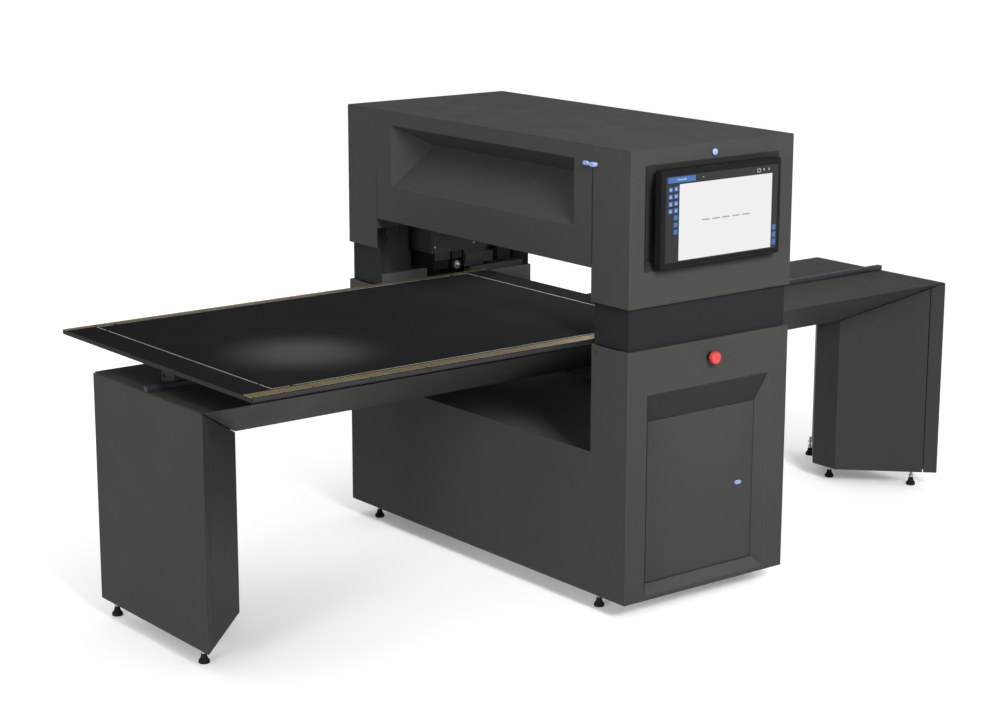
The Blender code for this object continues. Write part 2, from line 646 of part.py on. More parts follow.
def controls():
    face = -GANTRY_Y - GAP
    out = (0, -1, 0)
    edge = BUTTON_RADIUS
    cap = [(0.0, 0.0045), (edge - 0.002, 0.0042), (edge, 0.0025), (edge, -0.0060), (0.0, -0.0060)]
    turned("power_button", cap, (0.0, face, BUTTON_Z), out, "blue_plastic", 24)
    bore = STEM_RADIUS + 0.0008
    collar = [(bore, 0.008), (0.0125, 0.008), (0.0150, 0.006), (0.0150, 0.0), (bore, 0.0),
              (bore, 0.008)]
    turned("estop_collar", collar, (0.0, face, ESTOP_Z), out, "black_plastic", 24)
    head = [(0.0, 0.0330), (0.0165, 0.0326), (0.0192, 0.0312), (0.0200, 0.0286), (0.0200, 0.0262),
            (0.0180, 0.0240), (0.0180, 0.0212), (0.0190, 0.0196), (0.0184, 0.0166),
            (0.0110, 0.0133), (STEM_RADIUS, 0.0133), (STEM_RADIUS, -0.0120), (0.0, -0.0120)]
    turned("estop_head", head, (0.0, face, ESTOP_Z), out, "red_plastic", 32)
    far = GANTRY_Y + GAP
    box("main_switch_plate", (0.150, far, 0.640), (0.230, far + 0.012, 0.720), "black_plastic",
        0.002)
    knob = [(0.0, 0.0294), (0.0200, 0.0294), (0.0230, 0.0264), (0.0230, 0.0), (0.0, 0.0)]
    turned("main_switch_knob", knob, (0.190, far + 0.012 + GAP, 0.680), (0, 1, 0), "red_plastic",
           24)


ink_door(base_cabinet())
frames()
bands()
head_housings()
front_door()
carriage()
bridge()
table()
feet()
touch_screen()
controls()
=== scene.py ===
"""Looks of the flatbed UV printer: materials, fine parts, light and camera, round the CAD frame."""
import json
import math

import bmesh
import bpy
from mathutils import Matrix, Vector


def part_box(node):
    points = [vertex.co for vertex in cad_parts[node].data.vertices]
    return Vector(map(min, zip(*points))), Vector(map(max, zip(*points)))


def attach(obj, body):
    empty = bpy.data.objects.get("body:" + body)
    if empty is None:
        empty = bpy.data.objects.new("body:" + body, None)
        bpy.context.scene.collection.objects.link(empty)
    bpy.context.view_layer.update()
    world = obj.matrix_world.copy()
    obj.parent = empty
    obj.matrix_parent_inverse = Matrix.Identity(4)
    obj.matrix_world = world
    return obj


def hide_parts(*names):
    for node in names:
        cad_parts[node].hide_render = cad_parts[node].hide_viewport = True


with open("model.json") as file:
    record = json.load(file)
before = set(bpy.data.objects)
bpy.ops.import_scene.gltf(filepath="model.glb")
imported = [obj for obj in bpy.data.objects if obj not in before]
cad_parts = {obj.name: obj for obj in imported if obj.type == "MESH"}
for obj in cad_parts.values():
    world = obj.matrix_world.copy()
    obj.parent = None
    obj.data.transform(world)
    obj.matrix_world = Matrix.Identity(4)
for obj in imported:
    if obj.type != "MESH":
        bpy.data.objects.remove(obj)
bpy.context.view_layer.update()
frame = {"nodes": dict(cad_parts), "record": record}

# ---- sizes read from the frame ------------------------------------------------------------
TABLE_LOW, TABLE_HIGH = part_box("table_top")
TABLE_TOP = TABLE_HIGH.z
HEAD_LOW, HEAD_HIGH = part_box("head_near_housing")
FRONT_X = HEAD_LOW.x            # the loading side's skin
END_Y = HEAD_LOW.y              # the operator end's skin
HIGH_END_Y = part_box("base_far_panel")[1].y   # the far end's skin
BASE_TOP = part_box("base_near_panel")[1].z
PROUD = 0.0003                  # what lies on a surface stands this far off it


# ---- material kit -------------------------------------------------------------------------
class Nodes:
    """A short way to add shader nodes to one material and link them."""

    def __init__(self, name):
        self.material = bpy.data.materials.new(name)
        self.material.use_nodes = True
        self.tree = self.material.node_tree
        self.shader = self.tree.nodes["Principled BSDF"]
        self.place = self.add("ShaderNodeTexCoord").outputs["Object"]

    def add(self, kind, **values):
        node = self.tree.nodes.new(kind)
        for key, value in values.items():
            setattr(node, key, value)
        return node

    def link(self, source, target):
        self.tree.links.new(source, target)

    def noise(self, scale, detail=3.0, rough=0.55, stretch=None):
        node = self.add("ShaderNodeTexNoise")
        node.inputs["Scale"].default_value = scale
        node.inputs["Detail"].default_value = detail
        node.inputs["Roughness"].default_value = rough
        place = self.place
        if stretch:
            mapping = self.add("ShaderNodeMapping")
            mapping.inputs["Scale"].default_value = stretch
            self.link(place, mapping.inputs["Vector"])
            place = mapping.outputs["Vector"]
        self.link(place, node.inputs["Vector"])
        return node.outputs["Fac"]

    def spread(self, value, low, high, start=0.3, stop=0.7):
        """Maps a noise's middle range onto low..high."""
        node = self.add("ShaderNodeMapRange")
        node.inputs["From Min"].default_value = start
        node.inputs["From Max"].default_value = stop
        node.inputs["To Min"].default_value = low
        node.inputs["To Max"].default_value = high
        self.link(value, node.inputs["Value"])
        return node.outputs["Result"]

    def blend(self, mask, first, second):
        """Mixes two colours, each a tuple or an output, by a mask output."""
        node = self.add("ShaderNodeMix", data_type="RGBA")
        self.link(mask, node.inputs[0])
        for socket, colour in ((node.inputs[6], first), (node.inputs[7], second)):
            if isinstance(colour, tuple):
                socket.default_value = (*colour, 1.0)
            else:
                self.link(colour, socket)
        return node.outputs[2]

    def edge_mask(self, radius):
        """1 on edges, 0 on flats: where the rounded normal leaves the true one."""
        rounded = self.add("ShaderNodeBevel", samples=4)
        rounded.inputs["Radius"].default_value = radius
        flat = self.add("ShaderNodeNewGeometry")
        match = self.add("ShaderNodeVectorMath", operation="DOT_PRODUCT")
        self.link(rounded.outputs["Normal"], match.inputs[0])
        self.link(flat.outputs["True Normal"], match.inputs[1])
        return self.spread(match.outputs["Value"], 1.0, 0.0, 0.93, 0.995), rounded

    def bump(self, height, distance, strength=1.0, under=None):
        node = self.add("ShaderNodeBump")
        node.inputs["Distance"].default_value = distance
        node.inputs["Strength"].default_value = strength
        self.link(height, node.inputs["Height"])
        if under is not None:
            self.link(under, node.inputs["Normal"])
        return node.outputs["Normal"]

    def finish(self, colour=None, rough=None, normal=None, metallic=0.0, specular=0.5):
        shader = self.shader.inputs
        shader["Metallic"].default_value = metallic
        shader["Specular IOR Level"].default_value = specular
        for socket, value in (("Base Color", colour), ("Roughness", rough), ("Normal", normal)):
            if value is None:
                continue
            if isinstance(value, tuple):
                shader[socket].default_value = (*value, 1.0)
            elif isinstance(value, float):
                shader[socket].default_value = value
            else:
                self.link(value, shader[socket])
        return self.material


def powder_coat(name, colour, gloss=0.52):
    """Fine-textured powder coat: orange peel, faint mottling, and lighter folds that are partly
    wear and partly a painted highlight along every edge.
    """
    kit = Nodes(name)
    mottle = kit.spread(kit.noise(1.3, 3.0), 0.0, 1.0)
    speck = kit.spread(kit.noise(1500.0, 2.0), 0.0, 1.0)
    dark = tuple(c * 0.955 for c in colour)
    light = tuple(c * 1.045 for c in colour)
    cloud = kit.blend(mottle, dark, light)
    fleck = kit.blend(speck, tuple(c * 0.80 for c in colour), tuple(c * 1.22 for c in colour))
    body = kit.add("ShaderNodeMix", data_type="RGBA")
    body.inputs[0].default_value = 0.35
    kit.link(cloud, body.inputs[6])
    kit.link(fleck, body.inputs[7])
    # The 3 mm edge mask paints a highlight along every fold; noise breaks it up like wear.
    edge, rounded = kit.edge_mask(0.0030)
    wear_and_highlight_mask = kit.add("ShaderNodeMath", operation="MULTIPLY")
    kit.link(edge, wear_and_highlight_mask.inputs[0])
    kit.link(kit.spread(kit.noise(38.0, 5.0), 0.10, 0.55), wear_and_highlight_mask.inputs[1])
    wear_and_highlight = kit.blend(wear_and_highlight_mask.outputs[0], body.outputs[2], tuple(min(1, c * 2.3) for c in colour))
    rough = kit.spread(kit.noise(9.0, 4.0), gloss - 0.03, gloss + 0.04)
    peel = kit.bump(kit.noise(620.0, 2.0), 0.00022, 0.35, rounded.outputs["Normal"])
    return kit.finish(wear_and_highlight, rough, peel, 0.0, 0.03)


def brushed(name, colour, rough=0.30, stretch=(2.0, 90.0, 90.0), grain=12.0):
    """Ground or brushed metal: fine lines along one axis and a little tarnish."""
    kit = Nodes(name)
    lines = kit.noise(grain, 6.0, 0.7, stretch)
    tint = kit.blend(kit.spread(lines, 0.0, 1.0), tuple(c * 0.78 for c in colour), colour)
    stain = kit.spread(kit.noise(14.0, 5.0), 0.0, 1.0, 0.45, 0.75)
    tint = kit.blend(stain, tint, tuple(c * 0.72 for c in colour))
    gloss = kit.spread(lines, rough - 0.09, rough + 0.12)
    rounded = kit.edge_mask(0.0006)[1]
    normal = kit.bump(lines, 0.00008, 0.5, rounded.outputs["Normal"])
    return kit.finish(tint, gloss, normal, 1.0)


def moulded(name, colour, rough=0.38, grain=900.0, depth=0.00004, specular=0.35):
    """Injection-moulded plastic or rubber with a fine leather-like grain."""
    kit = Nodes(name)
    tone = kit.spread(kit.noise(24.0, 4.0), 0.0, 1.0)
    tint = kit.blend(tone, tuple(c * 0.90 for c in colour), tuple(min(1, c * 1.08) for c in colour))
    gloss = kit.spread(kit.noise(60.0, 4.0), rough - 0.06, rough + 0.08)
    rounded = kit.edge_mask(0.0008)[1]
    normal = kit.bump(kit.noise(grain, 2.0), depth, 0.25, rounded.outputs["Normal"])
    return kit.finish(tint, gloss, normal, 0.0, specular)


def glowing(name, colour, strength):
    """A lit patch of the display: its own light over a faint pixel structure."""
    kit = Nodes(name)
    grid = kit.spread(kit.noise(1800.0, 1.0), 0.0, 1.0)
    tint = kit.blend(grid, tuple(c * 0.975 for c in colour), colour)
    kit.link(tint, kit.shader.inputs["Emission Color"])
    kit.shader.inputs["Emission Strength"].default_value = strength
    return kit.finish((0.004, 0.004, 0.004), 0.25, None, 0.0, 0.10)


def table_skin():
    """Black laminate: satin, faintly rippled, with fine dust and light rubbing."""
    kit = Nodes("table_skin")
    cloud = kit.spread(kit.noise(3.2, 5.0), 0.0, 1.0)
    dust = kit.spread(kit.noise(700.0, 3.0), 0.0, 1.0, 0.55, 0.80)
    base = kit.blend(cloud, (0.0122, 0.0123, 0.0125), (0.0142, 0.0143, 0.0146))
    tint = kit.blend(dust, base, (0.020, 0.020, 0.021))
    rub = kit.noise(6.0, 6.0, 0.65, (1.0, 4.0, 1.0))
    gloss = kit.spread(rub, 0.36, 0.46)
    ripple = kit.bump(kit.noise(420.0, 2.0), 0.0001, 0.12)
    return kit.finish(tint, gloss, ripple, 0.0, 0.0)


BODY_TONE = (0.0365, 0.0367, 0.0347)
MATS = {
    "body_paint": powder_coat("powder_coat_anthracite", BODY_TONE),
    "dark_paint": powder_coat("powder_coat_blue_black", (0.0134, 0.0147, 0.0153), 0.50),
    "table_coat": table_skin(),
    "ruler_brass": brushed("ruler_brass_brushed", (0.43, 0.350, 0.180), 0.58),
    "steel": brushed("steel_ground", (0.52, 0.52, 0.54), 0.28),
    "aluminium": brushed("aluminium_milled", (0.30, 0.30, 0.31), 0.42, (30.0, 30.0, 3.0)),
    "black_plastic": moulded("black_abs", (0.0075, 0.0075, 0.0077), 0.42, specular=0.04),
    "blue_plastic": moulded("blue_acetal", (0.215, 0.290, 0.520), 0.40, specular=0.2),
    "red_plastic": moulded("red_acetal", (0.430, 0.032, 0.029), 0.38, 500.0, specular=0.25),
    "rubber": moulded("black_rubber", (0.013, 0.012, 0.012), 0.62, 420.0, 0.00015, 0.10),
    "ink_plastic": moulded("natural_polyethylene", (0.62, 0.62, 0.58), 0.42),
    "screen_glass": moulded("display_glass", (0.030, 0.029, 0.030), 0.12),
}


MATS.update({
    "line_white": moulded("line_ink_white", (0.40, 0.40, 0.39), 0.55, specular=0.05),
    "engraving": moulded("engraving_black", (0.006, 0.0055, 0.005), 0.75, specular=0.05),
    "trim_anodised": brushed("trim_anodised", (0.060, 0.062, 0.070), 0.50, (1.5, 60.0, 60.0)),
    # A darker copy of the body coat: painted shade for the down-facing hoods, the screen recess and
    # the table's end.
    "painted_shade_coat": powder_coat("powder_coat_shaded", tuple(c * 0.57 for c in BODY_TONE)),
    # A lighter copy of the body coat: painted light on the bay's up-facing sill.
    "painted_light_coat": powder_coat("powder_coat_painted_light", tuple(c * 1.42 for c in BODY_TONE)),
    # A lighter coat for the bay's back wall and the tunnel liner: painted light standing in for
    # light that reaches the bay.
    "bay_wall_painted_light": powder_coat("powder_coat_bay_wall", (0.0780, 0.0785, 0.0765), 0.55),
    "bay_black": powder_coat("powder_coat_black", (0.0260, 0.0262, 0.0255), 0.55),
    "bay_grey": powder_coat("powder_coat_charcoal", (0.0400, 0.0402, 0.0390), 0.50),
    "fins_black": brushed("black_anodised", (0.070, 0.070, 0.072), 0.46, (4.0, 4.0, 40.0)),
    "hub_alloy": brushed("hub_turned", (0.30, 0.30, 0.30), 0.46, (20.0, 20.0, 20.0)),
    "rail_steel": brushed("rail_hardened", (0.082, 0.086, 0.094), 0.50, (0.6, 6.0, 6.0), 4.0),
    "pin_dark": brushed("hinge_wire", (0.050, 0.050, 0.052), 0.45, (30.0, 30.0, 6.0)),
    "bright_steel": brushed("steel_bright", (0.85, 0.84, 0.82), 0.22, (30.0, 30.0, 30.0)),
    "lamp_glass": moulded("lamp_quartz", (0.060, 0.045, 0.120), 0.10),
    "screw_black": brushed("screw_burnished", (0.060, 0.060, 0.062), 0.36, (40.0, 40.0, 40.0)),
    "blue_inlay": moulded("blue_acetal_inlay", (0.165, 0.235, 0.480), 0.34, specular=0.2),
    "blue_deep": moulded("blue_acetal_deep", (0.120, 0.180, 0.460), 0.30),
    "red_pale": moulded("red_acetal_pale", (0.520, 0.110, 0.100), 0.38),
    "signal_yellow": moulded("yellow_plate", (0.760, 0.540, 0.030), 0.40),
    "ink_cyan": moulded("cap_cyan", (0.020, 0.260, 0.520), 0.30),
    "ink_magenta": moulded("cap_magenta", (0.520, 0.020, 0.180), 0.30),
    "ink_yellow": moulded("cap_yellow", (0.720, 0.560, 0.030), 0.30),
    "ink_black": moulded("cap_black", (0.010, 0.010, 0.011), 0.30),
    "lit_white": glowing("display_canvas", (0.86, 0.86, 0.855), 1.0),
    "lit_pale": glowing("display_pale", (0.60, 0.66, 0.80), 0.95),
    "lit_blue": glowing("display_blue", (0.060, 0.200, 0.520), 0.95),
    "lit_grey": glowing("display_grey", (0.42, 0.42, 0.43), 0.95),
})
MATS["screen_glass"] = glowing("display_frame", (0.043, 0.041, 0.042), 0.80)


# ---- mesh kit -----------------------------------------------------------------------------
def piece(name, bm, slot, body, mat=None, bevel=0.0, smooth=True):
    """A visible piece from a bmesh drawn in world metres, riding on a CAD body."""
    bmesh.ops.recalc_face_normals(bm, faces=bm.faces)
    mesh = bpy.data.meshes.new(name)
    bm.to_mesh(mesh)
    bm.free()
    if smooth:
        mesh.shade_smooth()
        mesh.set_sharp_from_angle(angle=math.radians(35))
    mesh.materials.append(mat or MATS[slot])
    obj = bpy.data.objects.new(name, mesh)
    bpy.context.scene.collection.objects.link(obj)
    if bevel:
        rounding = obj.modifiers.new("edges", "BEVEL")
        rounding.width = bevel
        rounding.segments = 2
        rounding.limit_method = "ANGLE"
        rounding.harden_normals = False
    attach(obj, body)
    return obj


def block(bm, low, high):
    made = bmesh.ops.create_cube(bm, size=1.0)["verts"]
    bmesh.ops.scale(bm, vec=[h - l for l, h in zip(low, high)], verts=made)
    bmesh.ops.translate(bm, vec=[(h + l) / 2 for l, h in zip(low, high)], verts=made)
    return made


def disc(bm, centre, axis, radius, length, sides=24, taper=None):
    made = bmesh.ops.create_cone(bm, cap_ends=True, segments=sides, radius1=radius,
                                 radius2=radius if taper is None else taper, depth=length)
    turn = Vector((0, 0, 1)).rotation_difference(Vector(axis)).to_matrix().to_4x4()
    bmesh.ops.transform(bm, matrix=Matrix.Translation(centre) @ turn, verts=made["verts"])
    return made["verts"]


def lathe(bm, profile, centre, axis, sides=32):
    """Turns (radius, height) points about axis; the profile starts and ends on it, or closes."""
    turn = Vector((0, 0, 1)).rotation_difference(Vector(axis)).to_matrix()
    rings = []
    for radius, height in profile:
        if radius < 1e-7:
            rings.append([bm.verts.new(Vector(centre) + turn @ Vector((0, 0, height)))])
            continue
        ring = []
        for i in range(sides):
            angle = 2 * math.pi * i / sides
            point = Vector((radius * math.cos(angle), radius * math.sin(angle), height))
            ring.append(bm.verts.new(Vector(centre) + turn @ point))
        rings.append(ring)
    for lower, upper in zip(rings, rings[1:]):
        for i in range(sides):
            j = (i + 1) % sides
            corners = [lower[i % len(lower)], lower[j % len(lower)],
                       upper[j % len(upper)], upper[i % len(upper)]]
            unique = list(dict.fromkeys(corners))
            if len(unique) > 2:
                bm.faces.new(unique)


def paint_frame():
    """Gives every CAD node its slot's material."""
    slots = {part["node"]: part["material_slot"] for part in frame["record"]["subparts"]}
    special = {"front_door_hinge_pin": "pin_dark", "ink_door_hinge_pin": "pin_dark",
               "capping_station": "bay_grey", "far_cheek_plate": "bay_grey",
               "print_heads": "fins_black", "print_head_module": "bay_black",
               # The tunnel liner gets the bay wall's lighter coat of painted light.
               "tunnel_liner": "bay_wall_painted_light", "gantry_frame": "bay_black"}
    for name, obj in frame["nodes"].items():
        obj.data.materials.clear()
        obj.data.materials.append(MATS[special.get(name, slots[name])])


# ---- table --------------------------------------------------------------------------------
def table_line():
    """The white line round the printable area, broken near its corners."""
    width = 0.0029
    x0, x1 = TABLE_LOW.x + 0.101, TABLE_HIGH.x - 0.104
    y0, y1 = TABLE_LOW.y + 0.0625, TABLE_HIGH.y - 0.0365
    z0, z1 = TABLE_TOP - 0.0002, TABLE_TOP + 0.00015
    gap = 0.011
    first = 0.062
    bm = bmesh.new()
    for y in (y0, y1):
        for a, b in ((x0, x0 + first), (x0 + first + gap, x1 - first - gap), (x1 - first, x1)):
            block(bm, (a, y - width / 2, z0), (b, y + width / 2, z1))
    for x in (x0, x1):
        inset = width / 2 + 0.0003
        low, high = y0 + inset, y1 - inset
        for a, b in ((low, low + first), (low + first + gap, high - first - gap),
                     (high - first, high)):
            block(bm, (x, a, z0), (x + width, b, z1))
    piece("table_line_frame", bm, "ink_plastic", "table", MATS["line_white"])


def ruler_scale(side):
    """Bold engraved graduations every 10 mm, the hundreds running right across."""
    low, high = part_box(f"ruler_{side}")
    start = low.x + 0.010
    count = int((high.x - low.x - 0.020) / 0.010)
    inner = high.y if side == "near" else low.y
    reach = -1 if side == "near" else 1
    width = high.y - low.y
    bm = bmesh.new()
    for i in range(count + 1):
        length = width * (0.97 if i % 10 == 0 else 0.90)
        half = 0.0026 if i % 10 == 0 else 0.0022
        x = start + 0.010 * i
        ends = sorted((inner + reach * 0.0012, inner + reach * length))
        block(bm, (x - half, ends[0], TABLE_TOP - 0.0003), (x + half, ends[1], TABLE_TOP + 0.00012))
    piece(f"ruler_{side}_scale", bm, "black_plastic", "table", MATS["engraving"])


def table_trim():
    """Anodised edge strips on the long sides, with a black rubber strip along the lower edge:
    painted shade for the shadow line under the edge.
    """
    for side, y, out in (("near", TABLE_LOW.y, -1), ("far", TABLE_HIGH.y, 1)):
        bm = bmesh.new()
        skin = sorted((y + out * PROUD, y + out * 0.0016))
        block(bm, (TABLE_LOW.x + 0.0005, skin[0], TABLE_LOW.z + 0.0025),
              (TABLE_HIGH.x - 0.0005, skin[1], TABLE_TOP - 0.0004))
        piece(f"table_edge_{side}", bm, "aluminium", "table", MATS["trim_anodised"], 0.0005)
        bm = bmesh.new()
        block(bm, (TABLE_LOW.x + 0.0005, skin[0], TABLE_LOW.z),
              (TABLE_HIGH.x - 0.0005, skin[1], TABLE_LOW.z + 0.0021))
        piece(f"table_shadow_line_{side}", bm, "rubber", "table", None, 0.0004)


def table_end_trim():
    """The powder-coated edging across the loading end of the table, in the darker copy of the coat:
    painted shade.
    """
    bm = bmesh.new()
    block(bm, (TABLE_LOW.x - 0.0012, TABLE_LOW.y + 0.001, TABLE_LOW.z + 0.0005),
          (TABLE_LOW.x - PROUD, TABLE_HIGH.y - 0.001, TABLE_TOP - 0.0005))
    piece("table_end_trim", bm, "body_paint", "table", MATS["painted_shade_coat"], 0.0004)


def table_ribs():
    """Stiffening channels bolted under the table."""
    top = TABLE_LOW.z - PROUD
    inset = 0.200
    bm = bmesh.new()
    for y in (-0.360, 0.360):
        for side in (-1, 1):
            block(bm, (TABLE_LOW.x + inset, y + side * 0.016 - 0.0015, top - 0.024),
                  (TABLE_HIGH.x - inset, y + side * 0.016 + 0.0015, top))
        block(bm, (TABLE_LOW.x + inset, y - 0.0144, top - 0.003),
              (TABLE_HIGH.x - inset, y + 0.0144, top))
    piece("table_ribs", bm, "dark_paint", "table", None, 0.0006)
    bm = bmesh.new()
    for y in (-0.360, 0.360):
        for i in range(7):
            x = TABLE_LOW.x + 0.26 + 0.18 * i
            lathe(bm, [(0.0, -0.0062), (0.0018, -0.0062), (0.0020, -0.0045), (0.0045, -0.0045),
                       (0.0050, -0.0040), (0.0050, -0.0031), (0.0, -0.0031)],
                  (x, y, top), (0, 0, 1), 12)
    piece("table_rib_screws", bm, "steel", "table")


def slide_rail():
    """A flat-sided guide rail with an undercut foot, a chamfered top and capped bolt holes."""
    low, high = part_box("linear_rail")
    half, height = high.y, high.z - low.z
    outline = [(0.84, 0.0), (0.84, 0.12), (1.0, 0.18), (1.0, 0.90), (0.90, 1.0)]
    outline += [(-u, v) for u, v in reversed(outline)]
    cap = 0.0022
    bm = bmesh.new()
    rings = [[bm.verts.new((x, half * u, low.z + height * v)) for u, v in outline]
             for x in (low.x + cap, high.x - cap)]
    bm.faces.new(rings[0])
    bm.faces.new(list(reversed(rings[1])))
    for i in range(len(outline)):
        j = (i + 1) % len(outline)
        bm.faces.new((rings[0][i], rings[1][i], rings[1][j], rings[0][j]))
    rail = piece("slide_rail", bm, "steel", "machine", MATS["rail_steel"])
    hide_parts("linear_rail")
    bm = bmesh.new()
    for x0, x1 in ((low.x, low.x + cap - 0.0001), (high.x - cap + 0.0001, high.x)):
        block(bm, (x0, -half * 0.86, low.z + 0.0012), (x1, half * 0.86, high.z - 0.0012))
    piece("slide_rail_end_caps", bm, "black_plastic", "machine", MATS["pin_dark"], 0.0006)
    bm = bmesh.new()
    pitch = 0.080
    for i in range(int((high.x - low.x) / pitch)):
        x = low.x + pitch * (i + 0.5)
        lathe(bm, [(0.0, -0.0004), (0.0026, -0.0004), (0.0030, 0.0), (0.0046, 0.0001),
                   (0.0048, -0.0006), (0.0, -0.0006)], (x, 0, high.z + 0.00012), (0, 0, 1), 14)
    piece("slide_rail_caps", bm, "black_plastic", "machine")


RACK_PITCH = math.tau * 0.0203 / 20   # a twenty-tooth pinion of 20.3 mm pitch radius


def rack_and_pinion():
    low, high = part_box("table_rack")
    axle = (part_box("drive_pinion")[0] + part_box("drive_pinion")[1]) / 2
    line = axle.z + 0.0203
    tip, root = line - 0.0014, line + 0.0019
    bm = bmesh.new()
    first = math.ceil((low.x - axle.x) / RACK_PITCH) + 1
    last = math.floor((high.x - axle.x) / RACK_PITCH) - 1
    foot = [(low.x, root)]
    for i in range(first, last):
        x = axle.x + (i + 0.5) * RACK_PITCH
        foot += [(x + RACK_PITCH * u, z) for u, z in
                 ((-0.30, root), (-0.17, tip), (0.17, tip), (0.30, root))]
    foot.append((high.x, root))
    rows = [[(bm.verts.new((x, y, z)), bm.verts.new((x, y, high.z))) for x, z in foot]
            for y in (low.y, high.y)]
    for i in range(len(foot) - 1):
        near, far = rows
        for row in rows:
            bm.faces.new((row[i][0], row[i + 1][0], row[i + 1][1], row[i][1]))
        for k in (0, 1):
            bm.faces.new((near[i][k], near[i + 1][k], far[i + 1][k], far[i][k]))
    for i in (0, -1):
        bm.faces.new((rows[0][i][0], rows[0][i][1], rows[1][i][1], rows[1][i][0]))
    rack = piece("toothed_rack", bm, "steel", "table", None, smooth=False)
    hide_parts("table_rack")
    gear(axle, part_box("drive_pinion")[1].y - axle.y)


def gear(axle, half):
    """The drive pinion: twenty teeth round a hub with a bore, and its keyed shaft."""
    teeth = 20
    bm = bmesh.new()
    outline = []
    for i in range(teeth):
        middle = math.tau * i / teeth + math.pi / 2
        for turn, radius in ((-0.30, 0.0184), (-0.15, 0.0216), (0.15, 0.0216), (0.30, 0.0184)):
            angle = middle + turn * math.tau / teeth
            outline.append((radius * math.cos(angle), radius * math.sin(angle)))
    bore = [(0.006 * math.cos(math.atan2(v, u)), 0.006 * math.sin(math.atan2(v, u)))
            for u, v in outline]
    loops = []
    for ring in (outline, bore):
        for y in (axle.y - half, axle.y + half):
            loops.append([bm.verts.new((axle.x + u, y, axle.z + v)) for u, v in ring])
    count = len(outline)
    for a, b in ((0, 1), (1, 3), (3, 2), (2, 0)):
        for i in range(count):
            j = (i + 1) % count
            bm.faces.new((loops[a][i], loops[a][j], loops[b][j], loops[b][i]))
    pinion = piece("toothed_pinion", bm, "steel", "pinion", None)
    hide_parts("drive_pinion")
    bm = bmesh.new()
    disc(bm, (axle.x, axle.y + 0.004, axle.z), (0, 1, 0), 0.0058, 0.026, 20)
    block(bm, (axle.x - 0.001, axle.y - 0.0095, axle.z + 0.0052),
          (axle.x + 0.001, axle.y + 0.009, axle.z + 0.0066))
    piece("pinion_shaft", bm, "steel", "pinion", None, 0.0003)


def drive_motor():
    """Ribs, flange and flange screws on the table's drive motor."""
    low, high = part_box("table_drive_motor")
    middle = (low + high) / 2
    bm = bmesh.new()
    for i in range(7):
        x = low.x + 0.008 + 0.008 * i
        block(bm, (x - 0.0012, low.y + 0.014, low.z - 0.003), (x + 0.0012, high.y - 0.018, low.z))
    piece("motor_ribs", bm, "black_plastic", "machine", None, 0.0004)
    bm = bmesh.new()
    block(bm, (low.x - 0.003, low.y - 0.0002, low.z - 0.003),
          (high.x + 0.003, low.y + 0.008, high.z - 0.001))
    piece("motor_flange", bm, "aluminium", "machine", None, 0.001)
    bm = bmesh.new()
    for u in (-1, 1):
        for v in (-1, 1):
            lathe(bm, [(0.0, 0.0015), (0.0014, 0.0015), (0.0016, 0.0026), (0.0034, 0.0026),
                       (0.0036, 0.0022), (0.0036, 0.0), (0.0, 0.0)],
                  (middle.x + u * 0.027, low.y - 0.0002, middle.z - 0.001 + v * 0.029),
                  (0, -1, 0), 12)
    piece("motor_flange_screws", bm, "steel", "machine")


# ---- touch screen -------------------------------------------------------------------------
def screen():
    low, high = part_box("screen_panel")
    width, height = high.x - low.x, high.z - low.z
    glass = low.y

    def tile(bm, u, v, w, h, lift=1):
        """A tile centred at (u, v), as shares of the picture from its top left corner."""
        x = low.x + u * width
        z = high.z - v * height
        block(bm, (x - w * width / 2, glass - 0.00012 * lift - 0.00006, z - h * height / 2),
              (x + w * width / 2, glass - 0.00012 * (lift - 1), z + h * height / 2))

    bm = bmesh.new()
    tile(bm, 0.5315, 0.5425, 0.827, 0.885)
    piece("ui_canvas", bm, "screen_glass", "machine", MATS["lit_white"], smooth=False)
    bm = bmesh.new()
    tile(bm, 0.137, 0.046, 0.238, 0.066)
    for column, start, count in ((0.042, 0.152, 4), (0.089, 0.148, 7)):
        for i in range(count):
            tile(bm, column, start + 0.083 * i, 0.034, 0.054)
    for i in range(3):
        tile(bm, 0.973, 0.750 + 0.0875 * i, 0.031, 0.066)
    piece("ui_blue_tiles", bm, "screen_glass", "machine", MATS["lit_blue"], smooth=False)
    bm = bmesh.new()
    for column, start, count in ((0.042, 0.152, 4), (0.089, 0.148, 4)):
        for i in range(count):
            tile(bm, column, start + 0.083 * i - 0.008, 0.018, 0.007, 2)
            tile(bm, column, start + 0.083 * i + 0.009, 0.018, 0.012, 2)
    tile(bm, 0.137, 0.046, 0.080, 0.012, 2)
    tile(bm, 0.323, 0.043, 0.012, 0.006)
    for u in (0.868, 0.914):
        tile(bm, u, 0.047, 0.008, 0.026)
    for u, v, w, h in ((-0.013, 0, 0.004, 0.030), (0.013, 0, 0.004, 0.030),
                       (0, -0.018, 0.030, 0.006), (0, 0.018, 0.030, 0.006)):
        tile(bm, 0.823 + u, 0.052 + v, w, h)
    piece("ui_pale_marks", bm, "screen_glass", "machine", MATS["lit_pale"], smooth=False)
    bm = bmesh.new()
    for i in range(-2, 3):
        tile(bm, 0.5315 + 0.090 * i, 0.545, 0.066, 0.016, 2)
    piece("ui_progress_dashes", bm, "screen_glass", "machine", MATS["lit_grey"], smooth=False)


